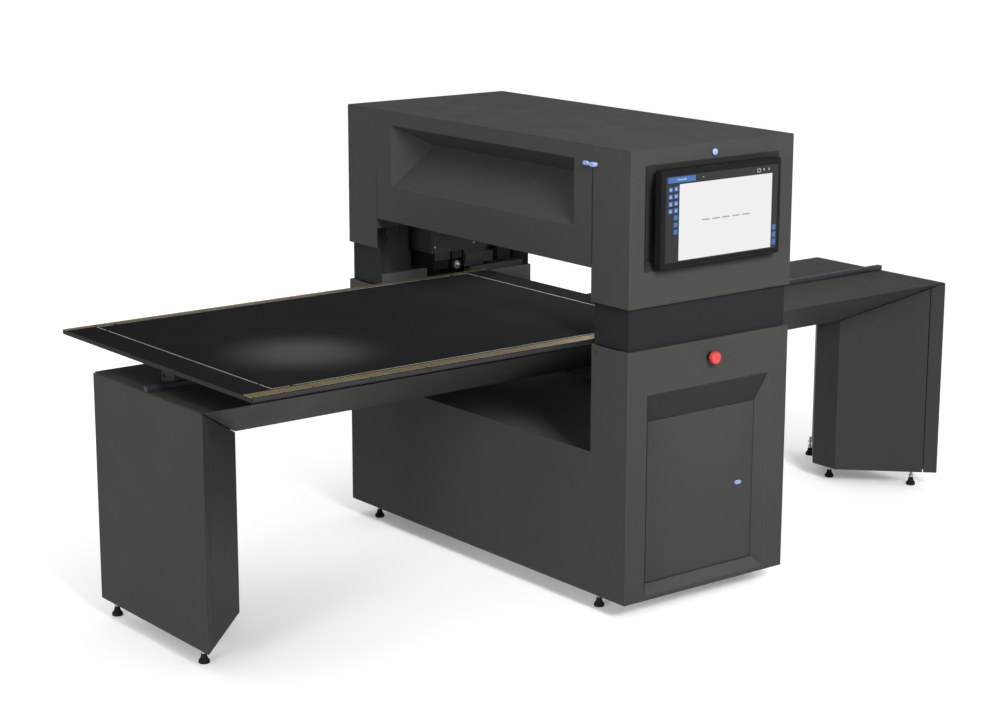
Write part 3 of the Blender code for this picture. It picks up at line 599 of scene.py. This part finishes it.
def screen_recess_painted_shade():
    """A dark liner folded over the sides and bottom of the screen's recess, with a backing on its
    floor: painted shade for the recess.
    """
    half, bottom, top = 0.285, 1.119, 1.452      # the recess's outline at the skin
    side, depth, hood = 0.032, 0.032, 0.095      # how far its slopes run in, and its depth
    stem = 0.064                                 # half of the gap left for the screen's stem
    back, face, clear = 0.0004, 0.0014, 0.0005   # the liner's two faces, and its side clearance
    edges = (0.08, 0.97)                         # shares of the slope that it covers
    section = ((edges[0], back), (edges[1], back), (edges[1], face), (edges[0], face))

    def corner(x_sign, is_top, share, lift):
        """A corner of the recess, `share` of the way in, `lift` off its sloping sheet."""
        z = top - hood * share if is_top else bottom + side * share
        return (x_sign * (half - side * share), END_Y + depth * share - lift, z)

    bm = bmesh.new()
    rings = []
    for x_sign, is_top in ((-1, True), (-1, False), (1, False), (1, True)):
        rings.append([bm.verts.new(corner(x_sign, is_top, *place)) for place in section])
    for a, b in zip(rings, rings[1:]):
        for i in range(4):
            j = (i + 1) % 4
            bm.faces.new((a[i], a[j], b[j], b[i]))
    bm.faces.new(rings[0])
    bm.faces.new(list(reversed(rings[-1])))
    for x0, x1 in ((side - half, -stem), (stem, half - side)):
        block(bm, (x0 + clear, END_Y + depth - face, bottom + side + clear),
              (x1 - clear, END_Y + depth - back, top - hood - clear))
    piece("screen_recess_painted_shade", bm, "body_paint", "machine", MATS["painted_shade_coat"], smooth=False)


def slope_skin(name, outer, inner, mat):
    """A thin sheet over one slope of a recess, carrying the painted shade or painted light it is
    given: (half width, height, depth) twice.
    """
    bm = bmesh.new()
    rings = []
    for lift in (0.0004, 0.0011):
        rings.append([bm.verts.new((sign * half, END_Y + depth - lift, z))
                      for sign, (half, z, depth) in ((-1, outer), (1, outer), (1, inner),
                                                     (-1, inner))])
    bm.faces.new(rings[0])
    bm.faces.new(list(reversed(rings[1])))
    for i in range(4):
        j = (i + 1) % 4
        bm.faces.new((rings[0][i], rings[0][j], rings[1][j], rings[1][i]))
    piece(name, bm, "body_paint", "machine", mat, smooth=False)


def slope_skins():
    """Sheets of painted shade on the two hoods and painted light on the bay's sill: name, half
    width and height at the skin, the same at the floor, both depths, and the paint.
    """
    bay, screen_recess = (0.2615, 0.2318), (0.2830, 0.2534)
    slopes = (("bay_hood_painted_shade", bay, (0.7305, 0.6385), (0.0012, 0.0315), "painted_shade_coat"),
              ("bay_sill_painted_light", bay, (0.0745, 0.1045), (0.0015, 0.0310), "painted_light_coat"),
              ("screen_hood_painted_shade", screen_recess, (1.4505, 1.3600), (0.0012, 0.0305),
               "painted_shade_coat"))
    for name, halves, heights, depths, paint in slopes:
        outer, inner = zip(halves, heights, depths)
        slope_skin(name, outer, inner, MATS[paint])


def door_seam_shade():
    """A black rubber strip down the latch side of the front door's opening: painted shade for the
    seam's dark gap.
    """
    bm = bmesh.new()
    block(bm, (FRONT_X - 0.0007, -0.5797, 1.130), (FRONT_X - 0.0001, -0.5752, 1.428))
    piece("door_seam_painted_shade", bm, "rubber", "machine", None, 0.0002)


# ---- feet ---------------------------------------------------------------------------------
def feet():
    pad = [(0.0, 0.0), (0.0158, 0.0), (0.0172, 0.0015), (0.0176, 0.0050), (0.0166, 0.0105),
           (0.0140, 0.0130), (0.0115, 0.0160), (0.0095, 0.0230), (0.0088, 0.0290),
           (0.0, 0.0290)]
    stud = [(0.0, 0.0285), (0.0046, 0.0285)]
    for i in range(18):
        z = 0.0300 + 0.0024 * i
        stud += [(0.0058, z), (0.0050, z + 0.0012)]
    stud += [(0.0050, 0.0737), (0.0, 0.0737)]
    for name in sorted(n for n in frame["nodes"] if n.startswith("foot_")):
        low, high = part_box(name)
        centre = ((low.x + high.x) / 2, (low.y + high.y) / 2, 0.0)
        bm = bmesh.new()
        lathe(bm, pad, centre, (0, 0, 1), 32)
        base = piece(f"{name}_pad", bm, "rubber", "machine")
        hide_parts(name)
        bm = bmesh.new()
        lathe(bm, stud, centre, (0, 0, 1), 20)
        for z in (0.0340, 0.0520):
            disc(bm, (centre[0], centre[1], z + 0.0030), (0, 0, 1), 0.0098, 0.0060, 6)
        piece(f"{name}_stud", bm, "steel", "machine", None, 0.0004)


# ---- bay of the parked carriage -----------------------------------------------------------
def far_bay():
    """The bay's back wall in a lighter coat of painted light, with its cable clips, and the folded
    ledge beside the table.
    """
    band_low, band_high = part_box("far_band_shroud")
    wall_y = band_high.y - 0.0065
    bm = bmesh.new()
    block(bm, (band_low.x + 0.004, wall_y, band_low.z + 0.002),
          (band_high.x - 0.004, wall_y + 0.003, HEAD_HIGH.z - 0.010))
    # The wall's lighter coat is painted light for the bay.
    piece("far_bay_wall", bm, "dark_paint", "machine", MATS["bay_wall_painted_light"])
    bm = bmesh.new()
    for x, z in ((-0.225, 1.052), (-0.150, 1.040), (-0.150, 0.968)):
        lathe(bm, [(0.0, 0.004), (0.0030, 0.004), (0.0042, 0.0025), (0.0042, 0.0), (0.0, 0.0)],
              (x, wall_y, z), (0, -1, 0), 14)
        block(bm, (x - 0.006, wall_y - 0.0012, z - 0.0016), (x + 0.006, wall_y, z + 0.0016))
    piece("cable_clips", bm, "aluminium", "machine", None, 0.0003)
    bm = bmesh.new()
    lathe(bm, [(0.0055, 0.0002), (0.0095, 0.0002), (0.0100, 0.0012), (0.0080, 0.0024),
               (0.0055, 0.0018), (0.0055, 0.0002)], (-0.200, wall_y, 1.005), (0, -1, 0), 20)
    piece("bay_grommet", bm, "rubber", "machine")

    low = Vector((-0.3255, 0.5818, BASE_TOP + PROUD))
    high = Vector((-0.1285, 0.6000, BASE_TOP + 0.0385))
    bm = bmesh.new()
    sheet = 0.0018
    block(bm, low, (high.x, low.y + sheet, high.z - sheet))
    block(bm, (low.x, low.y, high.z - sheet + 0.0001), high)
    piece("far_ledge", bm, "dark_paint", "machine", MATS["bay_grey"], 0.0006)


# ---- print carriage -----------------------------------------------------------------------
def print_unit_front():
    """The plate's tapped holes as dark discs of painted shade, its screws, and the lamp's heat
    sink.
    """
    low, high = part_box("print_head_module")
    front = low.y
    dots = [(-0.080, 1.046), (-0.066, 1.040), (-0.058, 1.028), (-0.050, 1.046), (-0.044, 1.020),
            (-0.034, 1.034), (-0.022, 1.042), (-0.016, 1.022), (-0.004, 1.030), (0.004, 1.012),
            (0.016, 1.026), (0.028, 1.006), (0.036, 1.020), (0.048, 1.004), (0.062, 1.012)]
    bm = bmesh.new()
    for x, z in dots + [(x, 2.13 - z) for x, z in dots]:
        lathe(bm, [(0.0, 0.0003), (0.0024, 0.0003), (0.0030, 0.0009), (0.0036, 0.0007),
                   (0.0038, 0.0), (0.0, 0.0)], (x, front - 0.0002, z), (0, -1, 0), 14)
    piece("unit_holes_painted_shade", bm, "black_plastic", "print_unit")
    bm = bmesh.new()
    for x in (low.x + 0.012, 0.086, high.x - 0.012):
        for z in (0.984, 1.060, 1.120, high.z - 0.012):
            lathe(bm, [(0.0, 0.0012), (0.0016, 0.0012), (0.0018, 0.0032), (0.0034, 0.0032),
                       (0.0038, 0.0026), (0.0038, 0.0), (0.0, 0.0)],
                  (x, front - 0.0002, z), (0, -1, 0), 16)
    piece("unit_screws", bm, "steel", "print_unit")
    bm = bmesh.new()
    for i in range(7):
        x = -0.0895 + 0.0104 * i
        block(bm, (x, front - 0.0035, 0.9345), (x + 0.0040, front + 0.0030, 0.9735))
    block(bm, (-0.0895, front - 0.0010, 0.9330), (-0.0231, front - 0.0002, 0.9750))
    piece("lamp_heat_sink", bm, "aluminium", "print_unit", MATS["fins_black"], 0.0003)


def print_unit_underside():
    """The lamp's window and the nozzle plates, both facing the table."""
    lamp_low, lamp_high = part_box("uv_lamp")
    bm = bmesh.new()
    block(bm, (lamp_low.x + 0.010, lamp_low.y + 0.008, lamp_low.z - 0.0016),
          (lamp_high.x - 0.010, lamp_high.y - 0.008, lamp_low.z - PROUD))
    piece("lamp_window", bm, "screen_glass", "print_unit", MATS["lamp_glass"], 0.0005)
    head_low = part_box("print_heads")[0]
    bm = bmesh.new()
    for i in range(2):
        for j in range(2):
            x = head_low.x + 0.006 + 0.042 * i
            y = head_low.y + 0.004 + 0.064 * j
            block(bm, (x, y, head_low.z - 0.0012), (x + 0.034, y + 0.054, head_low.z - PROUD))
    piece("nozzle_plates", bm, "steel", "print_unit", None, 0.0004)


def print_unit_covers():
    """The guard before the heads and the ribbed driver box on top."""
    low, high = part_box("print_head_module")
    front = low.y
    head_low, head_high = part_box("print_heads")
    bm = bmesh.new()
    block(bm, (head_low.x - 0.002, front - 0.0060, head_low.z + 0.012),
          (head_high.x + 0.030, front - 0.0003, head_high.z - 0.012))
    block(bm, (head_low.x + 0.030, front - 0.0095, head_low.z + 0.018),
          (head_low.x + 0.070, front - 0.0061, head_low.z + 0.036))
    piece("head_guard", bm, "dark_paint", "print_unit", MATS["bay_black"], 0.0012)
    bm = bmesh.new()
    block(bm, (low.x + 0.015, low.y + 0.012, high.z + PROUD),
          (high.x - 0.015, high.y - 0.012, high.z + 0.070))
    for i in range(9):
        y = low.y + 0.020 + 0.0125 * i
        block(bm, (low.x + 0.020, y, high.z + 0.0702), (high.x - 0.020, y + 0.004, high.z + 0.082))
    piece("unit_driver_box", bm, "aluminium", "print_unit", MATS["fins_black"], 0.0008)


def guide_roller():
    """The board sensing roller: ribbed tyre, hub, axle, and the saddle that carries it."""
    low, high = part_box("guide_roller")
    axle = (low + high) / 2
    radius = (high.z - low.z) / 2
    half = (high.y - low.y) / 2
    bore = 0.0148
    profile = [(bore, -half + 0.0020), (bore, -half), (radius - 0.0012, -half),
               (radius, -half + 0.0012)]
    for i in range(8):
        y = -half + 0.012 + 0.0155 * i
        profile += [(radius, y), (radius - 0.0010, y + 0.0006), (radius - 0.0010, y + 0.0022),
                    (radius, y + 0.0028)]
    profile += [(radius, half - 0.0012), (radius - 0.0012, half), (bore, half),
                (bore, half - 0.0020), (bore, -half + 0.0020)]
    bm = bmesh.new()
    lathe(bm, profile, axle, (0, 1, 0), 40)
    tyre = piece("roller_tyre", bm, "rubber", "roller")
    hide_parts("guide_roller")
    bm = bmesh.new()
    hub = [(0.0, -half + 0.0022), (0.0035, -half + 0.0022), (0.0038, -half + 0.0010),
           (0.0065, -half + 0.0010), (0.0070, -half + 0.0026), (bore - 0.0002, -half + 0.0034),
           (bore - 0.0002, half - 0.0034), (0.0, half - 0.0034)]
    lathe(bm, hub, axle, (0, 1, 0), 32)
    piece("roller_hub", bm, "aluminium", "roller", MATS["hub_alloy"])
    bm = bmesh.new()
    lathe(bm, [(0.0, -0.0032), (0.0046, -0.0032), (0.0056, -0.0026), (0.0056, 0.0008),
               (0.0, 0.0008)], (axle.x, low.y, axle.z), (0, 1, 0), 20)
    piece("roller_axle_end", bm, "steel", "print_unit", MATS["bright_steel"])
    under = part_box("print_head_module")[0].z
    bm = bmesh.new()
    block(bm, (axle.x - 0.022, low.y + 0.004, high.z + 0.004),
          (axle.x + 0.022, high.y - 0.004, under - PROUD))
    piece("roller_saddle", bm, "dark_paint", "print_unit", None, 0.0015)


def carriage_drive():
    """Threaded drive screw, its end blocks, and the caps along the carriage's rail."""
    low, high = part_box("carriage_screw")
    axle = (low + high) / 2
    radius = high.x - axle.x
    lead, starts, sides, step = 0.020, 2, 18, 0.00125
    bm = bmesh.new()
    rings = []
    for k in range(int((high.y - low.y) / step) + 1):
        y = low.y + step * k
        ring = []
        for i in range(sides):
            angle = math.tau * i / sides
            wave = math.cos(starts * (math.tau * y / lead - angle))
            r = radius - 0.0011 * max(0.0, min(1.0, 0.5 - 1.4 * wave))
            ring.append(bm.verts.new((axle.x + r * math.sin(angle), y,
                                      axle.z + r * math.cos(angle))))
        rings.append(ring)
    for a, b in zip(rings, rings[1:]):
        for i in range(sides):
            j = (i + 1) % sides
            bm.faces.new((a[i], a[j], b[j], b[i]))
    bm.faces.new(rings[0])
    bm.faces.new(list(reversed(rings[-1])))
    thread = piece("threaded_drive_screw", bm, "steel", "screw")
    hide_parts("carriage_screw")
    bm = bmesh.new()
    for y in (low.y + 0.006, high.y - 0.006):
        out = 1 if y > 0 else -1
        centre = (axle.x, y + out * 0.020, axle.z)
        lathe(bm, [(0.0, -0.008), (0.013, -0.008), (0.014, -0.006), (0.014, 0.008),
                   (0.0, 0.008)], centre, (0, out, 0), 24)
        block(bm, (axle.x - 0.020, centre[1] - 0.009, axle.z - 0.024),
              (axle.x + 0.022, centre[1] + 0.009, axle.z + 0.034))
    piece("screw_bearing_blocks", bm, "aluminium", "machine", None, 0.001)
    rail_low, rail_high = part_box("carriage_rail")
    bm = bmesh.new()
    for i in range(20):
        y = rail_low.y + 0.032 + 0.0645 * i
        lathe(bm, [(0.0, 0.0002), (0.0028, 0.0002), (0.0032, 0.0007), (0.0046, 0.0006),
                   (0.0048, 0.0), (0.0, 0.0)],
              (rail_low.x - 0.0001, y, (rail_low.z + rail_high.z) / 2), (-1, 0, 0), 14)
    piece("carriage_rail_caps", bm, "black_plastic", "machine")


def capping_station():
    low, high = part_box("capping_station")
    bm = bmesh.new()
    for i in range(3):
        x0 = low.x + 0.020 + 0.068 * i
        x1 = x0 + 0.058
        y0, y1 = low.y + 0.008, high.y - 0.008
        z0, z1 = high.z + PROUD, high.z + 0.0022
        lip = 0.0025
        block(bm, (x0, y0, z0), (x1, y0 + lip, z1))
        block(bm, (x0, y1 - lip, z0), (x1, y1, z1))
        block(bm, (x0, y0 + lip + 0.0001, z0), (x0 + lip, y1 - lip - 0.0001, z1))
        block(bm, (x1 - lip, y0 + lip + 0.0001, z0), (x1, y1 - lip - 0.0001, z1))
    piece("cap_lips", bm, "rubber", "machine")
    bm = bmesh.new()
    block(bm, (low.x + 0.006, low.y - 0.0016, low.z + 0.008),
          (high.x - 0.006, low.y - PROUD, high.z - 0.006))
    piece("capping_cover", bm, "dark_paint", "machine", MATS["bay_grey"], 0.0007)


# ---- ink bay ------------------------------------------------------------------------------
def ink_bay():
    """Caps and level windows of the four ink tanks."""
    low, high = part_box("ink_tank_bank")
    inks = ("ink_cyan", "ink_magenta", "ink_yellow", "ink_black")
    for i, ink in enumerate(inks):
        x = 0.1025 * (i - 1.5)
        neck = (x, low.y + 0.055, high.z)
        bm = bmesh.new()
        ridges = 18
        lathe(bm, [(0.0, 0.020), (0.0160, 0.020), (0.0185, 0.0175), (0.0200, 0.0060),
                   (0.0200, 0.0003), (0.0, 0.0003)], neck, (0, 0, 1), 36)
        for k in range(ridges):
            angle = math.tau * k / ridges
            disc(bm, (neck[0] + 0.0196 * math.cos(angle), neck[1] + 0.0196 * math.sin(angle),
                      neck[2] + 0.0075), (0, 0, 1), 0.0012, 0.012, 8)
        piece(f"tank_cap_{i + 1}", bm, "ink_plastic", "machine", MATS[ink])
        bm = bmesh.new()
        block(bm, (x - 0.006, low.y - 0.0012, low.z + 0.020),
              (x + 0.006, low.y - PROUD, low.z + 0.130 - 0.018 * i))
        piece(f"tank_level_{i + 1}", bm, "ink_plastic", "machine", MATS[ink], 0.0005)


# ---- controls and fasteners ---------------------------------------------------------------
def pill_outline(length, height, steps=8):
    half = (length - height) / 2
    points = []
    for end, start in ((half, -90), (-half, 90)):
        for i in range(steps + 1):
            angle = math.radians(start + 180 * i / steps)
            points.append((end + height / 2 * math.cos(angle), height / 2 * math.sin(angle)))
    return points


def pill_inlay(name, node, out, body, length=0.026, height=0.0138):
    """A darker, slightly dished inlay on a pill's face, with a rim left round it."""
    low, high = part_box(node)
    out = Vector(out)
    centre = (low + high) / 2
    axis = max(range(3), key=lambda a: abs(out[a]))
    centre[axis] = high[axis] if out[axis] > 0 else low[axis]
    along = Vector((0, 1, 0)) if axis == 0 else Vector((1, 0, 0))
    bm = bmesh.new()
    rings = []
    for scale, lift in ((0.74, -0.0002), (0.74, 0.00035), (0.64, 0.00050), (0.40, 0.00020)):
        rings.append([bm.verts.new(centre + along * u * (length * 0.5 + (scale - 1) * height / 2)
                                   / (length * 0.5) + Vector((0, 0, v * scale)) + out * lift)
                      for u, v in pill_outline(length, height)])
    count = len(rings[0])
    for a, b in zip(rings, rings[1:]):
        for i in range(count):
            j = (i + 1) % count
            bm.faces.new((a[i], a[j], b[j], b[i]))
    bm.faces.new(rings[0])
    bm.faces.new(rings[-1])
    piece(name, bm, "blue_plastic", body, MATS["blue_inlay"])


def controls():
    pill_inlay("door_latch_inlay", "door_latch", (-1, 0, 0), "cover_latch")
    pill_inlay("door_striker_inlay", "door_striker", (-1, 0, 0), "cover_door")
    pill_inlay("bay_handle_inlay", "ink_door_handle", (0, -1, 0), "bay_latch")
    low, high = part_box("power_button")
    centre = (low + high) / 2
    bm = bmesh.new()
    block(bm, (centre.x - 0.0016, low.y - 0.0005, centre.z - 0.0052),
          (centre.x + 0.0016, low.y + 0.0006, centre.z + 0.0052))
    piece("power_button_mark", bm, "blue_plastic", "power_key", MATS["blue_deep"], 0.0004)
    bm = bmesh.new()
    lathe(bm, [(0.0112, 0.0), (0.0134, 0.0), (0.0134, 0.0010), (0.0126, 0.0016),
               (0.0112, 0.0014), (0.0112, 0.0)], (centre.x, END_Y - 0.0002, centre.z),
          (0, -1, 0), 32)
    piece("power_button_bezel", bm, "aluminium", "machine", MATS["trim_anodised"])
    low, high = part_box("estop_head")
    centre = (low + high) / 2
    bm = bmesh.new()
    for i in range(3):
        start = math.tau * (i / 3 + 0.05)
        inner, outer = 0.0085, 0.0105
        steps = 10
        rings = [[], [], [], []]
        for k in range(steps + 1):
            angle = start + math.tau / 4.4 * k / steps
            for ring, radius, y in ((0, inner, 0.0), (1, outer, 0.0),
                                    (2, outer, -0.0004), (3, inner, -0.0004)):
                rings[ring].append(bm.verts.new((centre.x + radius * math.cos(angle),
                                                 low.y + 0.0002 + y,
                                                 centre.z + radius * math.sin(angle))))
        for a, b in ((0, 1), (1, 2), (2, 3), (3, 0)):
            for k in range(steps):
                bm.faces.new((rings[a][k], rings[a][k + 1], rings[b][k + 1], rings[b][k]))
        for k in (0, steps):
            bm.faces.new([ring[k] for ring in rings])
    piece("estop_turn_marks", bm, "red_plastic", "stop_key", MATS["red_pale"], smooth=False)
    switch()


def switch():
    """The isolator's yellow ring and the grip across its red knob."""
    low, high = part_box("main_switch_knob")
    centre = (low + high) / 2
    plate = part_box("main_switch_plate")[1]
    bm = bmesh.new()
    lathe(bm, [(0.0245, 0.0), (0.0335, 0.0), (0.0335, 0.0012), (0.0320, 0.0018),
               (0.0245, 0.0018), (0.0245, 0.0)], (centre.x, plate.y + 0.0001, centre.z),
          (0, 1, 0), 40)
    piece("switch_ring", bm, "ink_plastic", "machine", MATS["signal_yellow"])
    bm = bmesh.new()
    block(bm, (centre.x - 0.0050, high.y - 0.0180, centre.z - 0.0228),
          (centre.x + 0.0050, high.y - PROUD, centre.z + 0.0228))
    piece("switch_grip", bm, "red_plastic", "isolator", None, 0.002)
    bm = bmesh.new()
    for u in (-1, 1):
        for v in (-1, 1):
            button_screw(bm, (centre.x + u * 0.034, plate.y, centre.z + v * 0.034), (0, 1, 0),
                         0.0028)
    piece("switch_plate_screws", bm, "steel", "machine")


def button_screw(bm, place, out, radius=0.0040):
    """A low button head with a socket."""
    r = radius
    lathe(bm, [(0.0, 0.0006), (r * 0.36, 0.0006), (r * 0.40, 0.0014), (r * 0.66, 0.0013),
               (r * 0.92, 0.0008), (r, 0.0002), (r, -0.0004), (0.0, -0.0004)], place, out, 16)


def cover_screws():
    """The small button screws that hold the panels."""
    front = FRONT_X - 0.0001
    end = HIGH_END_Y + 0.0001
    rear = HEAD_HIGH.x + 0.0001
    groups = {
        "front_panel_screws": ([(front, -0.602, 0.854), (front, -0.602, 0.464),
                                (front, 0.005, 0.502)], (-1, 0, 0)),
        "far_end_screws": ([(x, end, z) for x in (-0.305, 0.0, 0.305)
                            for z in (0.100, 0.480, 0.840, 1.050, 1.460)], (0, 1, 0)),
        "rear_cover_screws": ([(rear, y, z) for y in (-0.545, -0.180, 0.180, 0.545)
                               for z in (1.145, 1.470)], (1, 0, 0)),
        "rear_panel_screws": ([(rear, y, z) for y in (-0.720, -0.360, 0.0, 0.360, 0.720)
                               for z in (0.090, 0.590)], (1, 0, 0)),
    }
    for name, (places, out) in groups.items():
        bm = bmesh.new()
        for place in places:
            button_screw(bm, place, out)
        piece(name, bm, "black_plastic", "machine", MATS["screw_black"])


def fan_guards():
    """Two ringed fan guards low on the rear panel, each over a black disc that is painted shade for
    its opening.
    """
    rear = HEAD_HIGH.x
    for i, y in enumerate((-0.450, 0.450)):
        place = (rear, y, 0.330)
        bm = bmesh.new()
        lathe(bm, [(0.0, 0.0001), (0.0580, 0.0001), (0.0580, 0.0010), (0.0, 0.0010)], place,
              (1, 0, 0), 48)
        piece(f"fan_opening_painted_shade_{i + 1}", bm, "black_plastic", "machine", MATS["bay_black"])
        bm = bmesh.new()
        for radius in (0.014, 0.025, 0.036, 0.047, 0.058):
            wire = [(radius + 0.0010 * math.cos(a), 0.0042 + 0.0010 * math.sin(a))
                    for a in [math.tau * k / 8 for k in range(9)]]
            lathe(bm, wire, place, (1, 0, 0), 48)
        for k in range(4):
            angle = math.tau * (k + 0.5) / 4
            direction = Vector((0, math.cos(angle), math.sin(angle)))
            middle = Vector(place) + Vector((0.0026, 0, 0)) + direction * 0.041
            disc(bm, middle, direction, 0.0011, 0.058, 8)
            button_screw(bm, Vector(place) + Vector((0.0014, 0, 0)) + direction * 0.0722,
                         (1, 0, 0), 0.0045)
        piece(f"fan_guard_{i + 1}", bm, "steel", "machine")


def doors_inside():
    """Stiffeners on the inner side of the bay door."""
    low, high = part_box("ink_bay_door")
    bm = bmesh.new()
    y = low.y + 0.0021
    for z in (low.z + 0.10, (low.z + high.z) / 2, high.z - 0.10):
        for side in (-1, 1):
            block(bm, (low.x + 0.030, y, z + side * 0.018 - 0.001),
                  (high.x - 0.060, y + 0.010, z + side * 0.018 + 0.001))
        block(bm, (low.x + 0.030, y + 0.0101, z - 0.018), (high.x - 0.060, y + 0.0115, z + 0.018))
    piece("bay_door_stiffeners", bm, "body_paint", "bay_door", None, 0.0005)


# ---- studio -------------------------------------------------------------------------------
def camera():
    data = bpy.data.cameras.new("camera")
    data.sensor_width = 36.0
    data.lens = 81.65
    data.clip_end = 200.0
    cam = bpy.data.objects.new("camera", data)
    bpy.context.scene.collection.objects.link(cam)
    yaw, pitch, roll = math.radians(38.047), math.radians(-13.083), math.radians(0.131)
    forward = Vector((math.sin(yaw) * math.cos(pitch), math.cos(yaw) * math.cos(pitch),
                      math.sin(pitch)))
    turn = forward.to_track_quat("-Z", "Y") @ Matrix.Rotation(roll, 3, "Z").to_quaternion()
    cam.rotation_mode = "QUATERNION"
    cam.rotation_quaternion = turn
    cam.location = (-4.8265, -5.8447, 2.4404)
    bpy.context.scene.camera = cam


def floor():
    """A pale floor that curves up into a low wall all round."""
    bm = bmesh.new()
    lathe(bm, [(0.0, 0.0), (26.0, 0.0), (33.0, 0.4), (38.0, 1.4), (42.0, 3.2), (45.0, 5.8),
               (46.0, 8.0)], (0, 0, 0), (0, 0, 1), 64)
    mesh = bpy.data.meshes.new("studio_floor")
    bm.to_mesh(mesh)
    bm.free()
    kit = Nodes("studio_floor")
    tone = kit.blend(kit.spread(kit.noise(0.6, 2.0), 0.0, 1.0), (0.94, 0.94, 0.94),
                     (0.96, 0.96, 0.96))
    kit.shader.inputs["Emission Color"].default_value = (1.0, 1.0, 1.0, 1.0)
    kit.shader.inputs["Emission Strength"].default_value = 0.22
    mesh.materials.append(kit.finish(tone, 0.9, None, 0.0, 0.1))
    ground = bpy.data.objects.new("studio_floor", mesh)
    ground.location.z = -0.0005
    bpy.context.scene.collection.objects.link(ground)


def lamp(name, place, aim, size, power, tint=(1.0, 1.0, 1.0)):
    data = bpy.data.lights.new(name, "AREA")
    data.shape = "RECTANGLE"
    data.size, data.size_y = size
    data.energy = power
    data.color = tint
    light = bpy.data.objects.new(name, data)
    light.location = place
    light.rotation_euler = (Vector(aim) - Vector(place)).to_track_quat("-Z", "Y").to_euler()
    light.visible_camera = False
    bpy.context.scene.collection.objects.link(light)


def spot(name, place, aim, cone, power, radius):
    data = bpy.data.lights.new(name, "SPOT")
    data.energy = power
    data.spot_size = math.radians(cone)
    data.spot_blend = 1.0
    data.shadow_soft_size = radius
    light = bpy.data.objects.new(name, data)
    light.location = place
    light.rotation_euler = (Vector(aim) - Vector(place)).to_track_quat("-Z", "Y").to_euler()
    bpy.context.scene.collection.objects.link(light)


def studio():
    world = bpy.data.worlds.new("studio")
    bpy.context.scene.world = world
    world.use_nodes = True
    tree = world.node_tree
    way = tree.nodes.new("ShaderNodeTexCoord")
    split = tree.nodes.new("ShaderNodeSeparateXYZ")
    ramp = tree.nodes.new("ShaderNodeValToRGB")
    tree.links.new(way.outputs["Generated"], split.inputs[0])
    tree.links.new(split.outputs["Z"], ramp.inputs["Fac"])
    tree.links.new(ramp.outputs["Color"], tree.nodes["Background"].inputs["Color"])
    low, high = ramp.color_ramp.elements
    low.position, low.color = 0.22, (0.06, 0.06, 0.062, 1.0)
    high.position, high.color = 0.80, (1.0, 1.0, 1.0, 1.0)
    tree.nodes["Background"].inputs["Strength"].default_value = 1.10
    lamp("side_fill", (-12.0, -4.5, 3.2), (-0.4, 0.0, 1.1), (3.0, 3.0), 700.0)
    lamp("tunnel_work_light", (0.0, -0.03, 1.088), (0.0, -0.03, 0.0), (0.46, 1.00), 3.6)
    spot("end_key", (-1.6, -6.0, 4.3), (0.10, -0.75, 1.35), 34.0, 3200.0, 1.2)
    spot("table_pool", (-1.16, -0.17, 3.30), (-1.16, -0.17, 0.0), 11.5, 1000.0, 0.1)
    bpy.context.scene.view_settings.view_transform = "Standard"


camera()
floor()
studio()
paint_frame()

table_line()
ruler_scale("near")
ruler_scale("far")
table_trim()
table_end_trim()
table_ribs()
slide_rail()
rack_and_pinion()
drive_motor()
screen()
screen_recess_painted_shade()
slope_skins()
door_seam_shade()
feet()
far_bay()
print_unit_front()
print_unit_underside()
print_unit_covers()
guide_roller()
carriage_drive()
capping_station()
ink_bay()
controls()
cover_screws()
fan_guards()
doors_inside()
